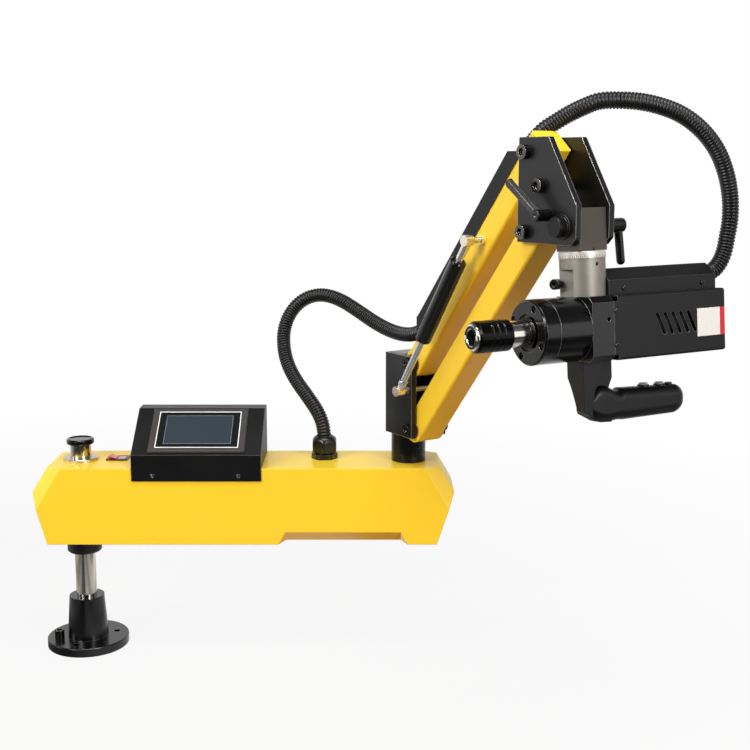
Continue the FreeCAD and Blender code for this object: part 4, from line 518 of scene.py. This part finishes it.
def moulded(name, colour, roughness, grain_mm, depth, edge_mm=0.6, **shader):
    # moulded plastic or rubber: a fine spark-eroded grain and faint flow marks in the gloss
    material, body = finish(name, colour, roughness, **shader)
    links = material.node_tree.links
    normal = soft_edges(material, edge_mm)[0]
    place = add(material, "TexCoord").outputs["Object"]
    flow = add(material, "TexNoise", {"Vector": place, "Scale": FLOW_MARKS, "Detail": 2})
    gloss = add(material, "MapRange", {
        "Value": flow.outputs[0], "From Min": 0.3, "From Max": 0.7,
        "To Min": roughness - 0.05, "To Max": roughness + 0.06})
    links.new(gloss.outputs[0], body.inputs["Roughness"])
    skin = add(material, "TexNoise", {"Vector": place, "Scale": 1 / (grain_mm * MM), "Detail": 2})
    bump = add(material, "Bump", {
        "Height": skin.outputs[0], "Distance": depth * MM, "Normal": normal})
    links.new(bump.outputs[0], body.inputs["Normal"])
    return material


# %% [markdown]
# ## Yellow enamel
# The arm is folded sheet steel and the bars are square tube, sprayed with enamel and stoved. It
# gives the eye one smooth warm field with a pale line on every fold, which is a painted highlight,
# so its peel stays very low.

# %% Yellow enamel
# stoved enamel on steel: a warm, even yellow with soft reflections at a low angle, and a paler
# yellow painted on every edge as a highlight
yellow_enamel = painted("yellow_enamel", "#EFC92F", "#FFE688", 0.34, 5.0, 0.010, edge_mm=1.6,
                        wear_and_highlight=0.5, **{"Specular IOR Level": 0.45})
print(yellow_enamel.name)

# %% [markdown]
# ## Black coats
# Powder coat on sheet, blackening on the machined plates, enamel on the cast foot, anodising on
# the gear housing and a thick paint on the cast handle and levers. All are near black. What tells
# them apart is their gloss, and how much bright metal shows on their edges.

# %% Black coats
# baked powder on folded sheet: even, half matt
black_powder = painted("black_powder_coat", "#0B0B0C", "#B4B2AE", 0.40, 1.6, 0.006, edge_mm=1.0,
                       wear_and_highlight=0.5, bare=0.6, **{"Specular IOR Level": 0.3})
# chemically blackened plate: a deep black, bare steel along the cut edges
plate_black = painted("blackened_plate", "#101011", "#F0EEE8", 0.32, 1.4, 0.006, edge_mm=1.3,
                      wear_and_highlight=0.9, bare=1.0, **{"Specular IOR Level": 0.4})
# brushed enamel on cast iron: glossy over a slightly uneven skin
cast_black = painted("black_cast_enamel", "#080808", "#2E2D2C", 0.20, 4.2, 0.05, edge_mm=1.2,
                     wear_and_highlight=0.3, **{"Specular IOR Level": 0.5})
# hard anodised aluminium, turned before: the glossiest black, with pale edges
gear_black = painted("black_anodised_housing", "#070708", "#C4C4C2", 0.20, 1.2, 0.004, edge_mm=0.9,
                     wear_and_highlight=0.7, bare=0.8, **{"Specular IOR Level": 0.45})
# thick paint on a sand casting: soft and a little lumpy, no bare metal
handle_casting = painted("black_painted_casting", "#080808", "#2C2C2B", 0.40, 2.2, 0.03,
                         edge_mm=1.6, wear_and_highlight=0.2, **{"Specular IOR Level": 0.35})
# paint on die-cast zinc: glossy, rubbed to the metal where the hand turns it
lever_black = painted("black_painted_zamak", "#0A0A0A", "#E8E8E6", 0.20, 1.0, 0.004, edge_mm=0.8,
                      wear_and_highlight=0.7, bare=0.9, **{"Specular IOR Level": 0.5})
print("black coats: 6")

# %% [markdown]
# ## Steels
# The column and spindle are ground, the collar is bead-blasted, the dial is satin chromed, and
# the screws are blackened or nickel plated. Each keeps the lines of the tool round its own axis,
# so the axes of the spindle, the swivel and the gas spring are named here.

# %% Steels
tool_axis = Vector((-0.89077, -0.45435, -0.009866))
swivel_axis = Vector((-0.0481, 0.0727, 0.9962))
gas_axis = Vector((0.31499, -0.4759, 0.8212))
# cylindrically ground: a near mirror that is drawn out round the column
ground_steel = turned_metal("ground_steel_column", "#D4CFC5", "#9A9286", 0.14, AXIS_Z, 0.6,
                            depth=0.0008)
# faced on a lathe: warm and satin
faced_steel = turned_metal("turned_bearing_cap", "#D8CDB8", "#A99D86", 0.30, AXIS_Z, 0.5)
# ground for its bearings: the brightest steel of the machine
spindle_steel = turned_metal("ground_steel_spindle", "#EFEBE3", "#B5AEA2", 0.14, tool_axis, 0.6,
                             depth=0.0008)
# turned and oil-blackened: black, with a metal's coloured highlights
sleeve_black = turned_metal("blackened_sleeve", "#191818", "#0D0D0D", 0.22, tool_axis, 0.5, 0.85)
# turned from bar and blackened: duller than the sleeve
post_black = turned_metal("blackened_post", "#141415", "#0B0B0B", 0.28, AXIS_Z, 0.8, 0.5)
# blasted with glass beads: grey without a highlight's edge
collar_steel = turned_metal("bead_blasted_collar", "#8F8A82", "#6E6A63", 0.46, swivel_axis, 0.4,
                            0.7)
# satin chromium over turned steel: pale, so that the black marks can be read
dial_steel = turned_metal("satin_chromed_dial", "#D2CEC6", "#B4AEA4", 0.34, swivel_axis, 0.4,
                          0.45)
# milled and phosphated: a dark, dry brownish grey
block_steel = painted("phosphated_block", "#4A4540", "#B5AEA5", 0.42, 2.0, 0.006, edge_mm=0.8,
                      wear_and_highlight=0.5, Metallic=0.4)
# turned and blackened disc: rings round its face
disc_black = turned_metal("blackened_disc", "#1A1A1B", "#0D0D0D", 0.34, AXIS_Z, 0.8, 0.6)
# hard chromium, polished: a mirror with hardly a line in it
chrome_rod = turned_metal("hard_chromed_rod", "#E6E6E4", "#A9A8A6", 0.08, gas_axis, 0.8)
# bright zinc plate on ball studs: white metal with a faint warmth
bright_zinc = turned_metal("bright_zinc", "#F6F2E8", "#C2BBAC", 0.15, AXIS_Z, 1.0, 0.8)
# dark nickel on socket screws: a grey head, with a strong painted highlight on its rim
screw_nickel = turned_metal("dark_nickel_screw", "#6A6864", "#22211F", 0.22, AXIS_Z, 0.8,
                            rim_highlight_share=0.8)
# black oxide on socket screws: nearly black, still a metal
oxide_screw = turned_metal("black_oxide_screw", "#2C2A28", "#121110", 0.26, AXIS_Z, 0.8, 0.9)
# pressed and sintered bronze: brown and dull, seen only at the joints' gaps
bronze_bush = turned_metal("sintered_bronze", "#A67B3E", "#6E4D22", 0.38, AXIS_Z, 0.7)
print("steels: 14")

# %% [markdown]
# ## Gas spring
# The pressure tube is enamelled black and the rod is hard chromed. Their eyes are bright zinc.
# Tube and eye are one solid, so the two finishes are mixed by the distance along the spring.

# %% Gas spring
# the centre of the lower ball, and the distances from it at which the eyes end
GAS_FOOT = (0.46439, -0.05764, 0.395)
GAS_TUBE_END = 0.2335
GAS_ROD_START = 0.016
# smooth paint on the drawn tube: a clear highlight along its length
gas_coat = painted("black_gas_spring_coat", "#0A0A0A", "#6A6968", 0.18, 3.0, 0.004, edge_mm=1.0,
                   wear_and_highlight=0.5, bare=0.5)


def zinc_eye(material, side, limit):
    # beyond the limit along the spring the coat gives way to bright zinc
    tree = material.node_tree
    place = add(material, "TexCoord").outputs["Object"]
    reach = add(material, "VectorMath", {0: place, 1: GAS_FOOT}, operation="SUBTRACT")
    down = add(material, "VectorMath", {0: reach.outputs[0], 1: gas_axis},
               operation="DOT_PRODUCT")
    mask = add(material, "Math", {0: down.outputs["Value"], 1: limit}, operation=side)
    zinc = add(material, "BsdfPrincipled", {
        "Base Color": linear("#EDE8DD"), "Metallic": 0.85, "Roughness": 0.22})
    mixed = add(material, "MixShader", {
        0: mask.outputs[0], 1: tree.nodes["Principled BSDF"].outputs[0], 2: zinc.outputs[0]})
    tree.links.new(mixed.outputs[0], tree.nodes["Material Output"].inputs["Surface"])


zinc_eye(gas_coat, "GREATER_THAN", GAS_TUBE_END)
zinc_eye(chrome_rod, "LESS_THAN", GAS_ROD_START)
print("spring axis", [round(v, 4) for v in gas_axis])

# %% [markdown]
# ## Plastics, rubber and glass
# The conduit and gland are black polyamide, the column's cap is glossy phenolic, the rocker is
# glossy red polycarbonate, and the panel's frame is a taupe moulding. The grains are finer than a
# pixel here, so they are drawn a little coarser than the real ones.

# %% Plastics, rubber and glass
# extruded and corrugated polyamide: satin, each ring catches its own line of light
conduit_black = moulded("polyamide_conduit", "#0E0E0E", 0.38, 6.0, 0.001, edge_mm=0.2,
                        **{"Specular IOR Level": 0.5})
# moulded polyamide: a clearer shine on flats and crown
gland_black = moulded("polyamide_gland", "#15130F", 0.28, 0.9, 0.006)
# moulded rubber: dark and dull
rubber_black = moulded("black_rubber", "#0E0E0E", 0.42, 1.4, 0.02, edge_mm=1.2)
# pressed phenolic: polished by the mould, like piano black
knob_black = moulded("black_phenolic_cap", "#0C0C0C", 0.14, 1.4, 0.003, edge_mm=1.2)
# moulded nylon frame of the switch: plain and half glossy
switch_black = moulded("black_switch_frame", "#121213", 0.26, 0.9, 0.004)
# textured ABS frame: a brownish grey that sets the glass off from the black housing
bezel_grey = moulded("taupe_panel_frame", "#3B3737", 0.34, 0.8, 0.006, edge_mm=0.8)
# polished polycarbonate under a clear skin: a strong red with sharp highlights
rocker_red = moulded("red_polycarbonate", "#C5140E", 0.12, 2.5, 0.004,
                     **{"Coat Weight": 0.5, "Coat Roughness": 0.06})
# glass printed black from behind: the smoothest surface of the machine
glass_black = moulded("black_screen_glass", "#15191A", 0.08, 6.0, 0.001)
# moulded caps of the push buttons: pale against the handle
button_grey = moulded("pale_button_cap", "#8E8B84", 0.30, 0.8, 0.004)
print("moulded finishes: 9")

# %% [markdown]
# ## Which solid wears which finish
# One table gives each finish its solids. The meshes stay as they are, only their material is set.

# %% Dress the solids
DRESS = {
    yellow_enamel: ("base_arm_shell", "upper_bar", "lower_bar"),
    black_powder: ("base_cover", "console_housing", "motor_cover", "wiring_cover", "cable_cover",
                   "servo_motor", "drive_unit"),
    plate_black: ("turret_plates", "head_plates"),
    cast_black: ("foot_flange",),
    gas_coat: ("gas_tube",),
    gear_black: ("gearbox_body", "gearbox_cap"),
    handle_casting: ("handle",),
    ground_steel: ("column",),
    faced_steel: ("bearing_cap",),
    spindle_steel: ("spindle",),
    sleeve_black: ("chuck_sleeve", "spindle_nut"),
    post_black: ("swivel_post",),
    collar_steel: ("swivel_collar", "swivel_spigot"),
    dial_steel: ("dial_ring",),
    block_steel: ("tilt_block",),
    disc_black: ("tilt_pivot",),
    chrome_rod: ("gas_rod",),
    bright_zinc: ("gas_lower_stud", "gas_upper_stud"),
    screw_nickel: ("head_screws", "console_screws"),
    oxide_screw: ("foot_screw", "turret_screws", "turret_pins", "head_pins", "tool_screws"),
    bronze_bush: ("column_bushes", "post_bushes", "upper_bar_bushes", "lower_bar_bushes"),
    gland_black: ("cable_gland", "gland_nut"),
    rubber_black: ("column_collar", "conduit_saddle"),
    knob_black: ("column_cap",),
    lever_black: ("front_lever", "rear_lever"),
    switch_black: ("switch_bezel",),
    bezel_grey: ("hmi_bezel",),
    rocker_red: ("power_rocker",),
    glass_black: ("hmi_screen",),
    button_grey: ("start_button", "reverse_button"),
}


def dress(piece, material):
    piece.data.materials.clear()
    piece.data.materials.append(material)


for material, names in DRESS.items():
    for name in names:
        dress(nodes[name], material)
for tube in conduits:
    dress(tube, conduit_black)
print("dressed:", sum(len(names) for names in DRESS.values()), "nodes")

# %% [markdown]
# ## Frames for the small pieces
# Small pieces sit on sloping faces. Each frame below is the place and direction of one face or
# part, turned as the solids are, so that a plate is written with plain distances along its face.

# %% Frames
def turn(degrees, axis):
    return Matrix.Rotation(math.radians(degrees), 4, axis)


PANEL_SLOPE = math.degrees(math.atan2(52.6, 77.0))
panel_frame = Matrix.Translation((0.17625, -0.0185, 0.3287)) @ turn(PANEL_SLOPE, "X")
tilt_frame = Matrix.Translation((0.672163, -0.291838, 0.635965)) @ turn(-56.5, "Z") @ turn(-5, "Y")
tool_frame = tilt_frame @ Matrix.Translation((0, 0, -0.1195)) @ turn(263.5, "Z")
print("tool axis", [round(v, 4) for v in tool_frame.col[0][:3]])


def slab(builder, x, y, z):
    # a block between two distances along each axis, in millimetres
    corners = [builder.verts.new((x[i] * MM, y[j] * MM, z[k] * MM))
               for i in (0, 1) for j in (0, 1) for k in (0, 1)]
    for loop in ((0, 1, 3, 2), (4, 6, 7, 5), (0, 4, 5, 1), (2, 3, 7, 6), (0, 2, 6, 4), (1, 5, 7, 3)):
        builder.faces.new([corners[n] for n in loop])


def place(name, builder, frame_matrix, body, material, bevel_mm=0.0):
    if bevel_mm:
        bmesh.ops.bevel(builder, geom=builder.edges[:], offset=bevel_mm * MM, segments=2,
                        affect="EDGES")
    builder.transform(frame_matrix)
    piece = piece_from(name, builder)
    shade_smooth(piece)
    dress(piece, material)
    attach(piece, body)
    return piece


def picture_frame(builder, half_x, half_y, width, z):
    slab(builder, (-half_x, half_x), (half_y - width, half_y), z)
    slab(builder, (-half_x, half_x), (-half_y, width - half_y), z)
    for side in (-1, 1):
        ends = sorted((side * (half_x - width), side * half_x))
        slab(builder, ends, (width - half_y, half_y - width), z)


# %% [markdown]
# ## Cable gland
# The conduit leaves the arm through a gland whose cap nut is a hexagon with a rounded crown. Each
# ring of the mesh is the smaller of two outlines, the hexagon and the crown's circle, which gives
# the arched edges that a real nut has where the crown cuts its six flats.

# %% Cable gland
NUT_FLAT = 17.2
NUT_SIDES = 72
# height and crown radius of each ring in millimetres, up the outside and back down the bore
NUT_LEVELS = [(0.3, 10.7), (0.3, 14.6), (2.0, 14.6), (2.0, 18.2), (2.9, 19.3), (16.0, 19.3),
              (19.5, 18.0), (22.4, 16.2), (24.4, 14.2), (25.3, 12.4), (25.5, 11.6), (25.5, 10.7)]


def nut_radius(angle, crown):
    off_flat = math.radians((math.degrees(angle) + 30) % 60 - 30)
    return min(NUT_FLAT / math.cos(off_flat), crown)


nut_low, nut_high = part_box("gland_nut")
nut = bmesh.new()
nut_rings = []
for height, crown in NUT_LEVELS:
    ring = []
    for k in range(NUT_SIDES):
        angle = 2 * math.pi * k / NUT_SIDES
        r = nut_radius(angle, crown)
        ring.append(nut.verts.new((r * MM * math.cos(angle), r * MM * math.sin(angle), height * MM)))
    nut_rings.append(ring)
for low, high in zip(nut_rings, nut_rings[1:] + nut_rings[:1]):
    for k in range(NUT_SIDES):
        after = (k + 1) % NUT_SIDES
        nut.faces.new((low[k], low[after], high[after], high[k]))
nut_centre = ((nut_low[0] + nut_high[0]) / 2, (nut_low[1] + nut_high[1]) / 2, nut_low[2])
cap_nut = place("gland_cap_nut", nut, Matrix.Translation(nut_centre), "base_arm", gland_black)
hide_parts("gland_nut")
print("gland nut at", [round(v, 4) for v in nut_centre])

# %% [markdown]
# ## Touch screen
# The panel's glass is black with a blue-grey display under it, framed by a fine grey printed line.
# Round the glass runs a white line, a painted highlight of its polished edge. Each is a thin film.

# %% Touch screen
DISPLAY_HALF_X, DISPLAY_HALF_Y = 47.5, 27.0
GLASS_TOP = 3.7
# the display, switched off: a blue grey as deep as slate
display_grey = moulded("lcd_blue_grey", "#2F3941", 0.16, 6.0, 0.001)
# ink printed behind the glass for the dim line; the white line is a painted highlight of the glass's
# polished edge
printed_line = moulded("grey_printed_line", "#74787B", 0.30, 2.0, 0.001)
glass_edge_highlight = moulded("white_painted_highlight_line", "#EDEDEB", 0.30, 2.0, 0.001)

display = bmesh.new()
slab(display, (-DISPLAY_HALF_X, DISPLAY_HALF_X), (-DISPLAY_HALF_Y, DISPLAY_HALF_Y),
     (GLASS_TOP + 0.02, GLASS_TOP + 0.1))
place("display_film", display, panel_frame, "base_arm", display_grey)
display_edge = bmesh.new()
picture_frame(display_edge, DISPLAY_HALF_X + 0.8, DISPLAY_HALF_Y + 0.8, 0.9,
              (GLASS_TOP + 0.02, GLASS_TOP + 0.14))
place("display_edge", display_edge, panel_frame, "base_arm", printed_line)
glass_edge = bmesh.new()
picture_frame(glass_edge, 59.5, 35.5, 1.3, (GLASS_TOP, GLASS_TOP + 0.4))
place("glass_edge", glass_edge, panel_frame, "base_arm", glass_edge_highlight)
print("touch screen pieces: 3")

# %% [markdown]
# ## Data plate
# A white anodised plate with a red end is stuck to the motor cover. It is left bare. A colour
# painted on the cover itself would have no edge, so the plate is a slab 0.4 mm thick.

# %% Data plate
PLATE_BACK, PLATE_BORDER, PLATE_FRONT = -182.6, -175.0, -139.5
PLATE_LOW, PLATE_HIGH = -18.8, 15.0
COVER_SIDE, PLATE_THICKNESS = 38.0, 0.4
# anodised aluminium sheet, undyed and printed: flat, dry colours
plate_white = moulded("white_anodised_plate", "#DADAD8", 0.38, 1.5, 0.002)
plate_red = moulded("red_printed_end", "#C2161E", 0.38, 1.5, 0.002)
plate = bmesh.new()
slab(plate, (PLATE_BORDER, PLATE_FRONT), (COVER_SIDE, COVER_SIDE + PLATE_THICKNESS),
     (PLATE_LOW, PLATE_HIGH))
place("data_plate", plate, tool_frame, "tool", plate_white)
plate_end = bmesh.new()
slab(plate_end, (PLATE_BACK, PLATE_BORDER), (COVER_SIDE, COVER_SIDE + PLATE_THICKNESS),
     (PLATE_LOW, PLATE_HIGH))
place("data_plate_end", plate_end, tool_frame, "tool", plate_red)
print("data plate pieces: 2")

# %% [markdown]
# ## Chuck mouth
# The end of the spindle is ground bright. The shaded recess of the mouth is painted as a black face,
# cut by two driving slots.
# A full ring with two notches cut by a boolean would do; two arcs give the same with less work.

# %% Chuck mouth
MOUTH_FACE = 157.0
MOUTH_BORE, MOUTH_RIM = 10.4, 13.4
SLOT_HALF_ANGLE = 13


def arc_plate(builder, radii, faces, start, stop, steps):
    # a flat arc round the X axis between two radii and two distances, in millimetres
    rows = []
    for k in range(steps + 1):
        angle = math.radians(start + (stop - start) * k / steps)
        rows.append([builder.verts.new((x * MM, r * MM * math.cos(angle), r * MM * math.sin(angle)))
                     for x, r in ((faces[0], radii[0]), (faces[0], radii[1]),
                                  (faces[1], radii[1]), (faces[1], radii[0]))])
    for a, b in zip(rows, rows[1:]):
        for j in range(4):
            builder.faces.new((a[j], b[j], b[(j + 1) % 4], a[(j + 1) % 4]))
    builder.faces.new(rows[0])
    builder.faces.new(rows[-1][::-1])


# black arcs on the end face stand in for the shade in the chuck's recess
mouth = bmesh.new()
for side in (0, 180):
    arc_plate(mouth, (MOUTH_BORE, MOUTH_RIM), (MOUTH_FACE, MOUTH_FACE + 0.3),
              side + SLOT_HALF_ANGLE, side + 180 - SLOT_HALF_ANGLE, 28)
place("chuck_mouth", mouth, tool_frame, "spindle", sleeve_black)
print("driving slots: 2")

# %% [markdown]
# ## Swivel scale
# The ring of the swivel is engraved every five degrees, longer at each ten, and the lines are
# filled with black ink. One mark is made, turned and gathered into a single mesh 72 times.

# %% Swivel scale
DIAL_LOW = 82.5
DIAL_RADIUS = 27.5
MARKS = 72
LONG_MARK, SHORT_MARK = 4.2, 2.6
# ink pressed into engraved lines: dull black against the satin chromium
scale_ink = moulded("black_scale_ink", "#1A1A1A", 0.4, 1.0, 0.001)
scale = bmesh.new()
for k in range(MARKS):
    mark = bmesh.new()
    reach = LONG_MARK if k % 2 == 0 else SHORT_MARK
    slab(mark, (DIAL_RADIUS - 0.2, DIAL_RADIUS + 0.05), (-0.2, 0.2), (DIAL_LOW, DIAL_LOW + reach))
    mark.transform(turn(360 / MARKS * k, "Z"))
    drawn = bpy.data.meshes.new("mark")
    mark.to_mesh(drawn)
    mark.free()
    scale.from_mesh(drawn)
    bpy.data.meshes.remove(drawn)
place("swivel_scale", scale, tool_frame, "tool", scale_ink)
print("scale marks:", MARKS)
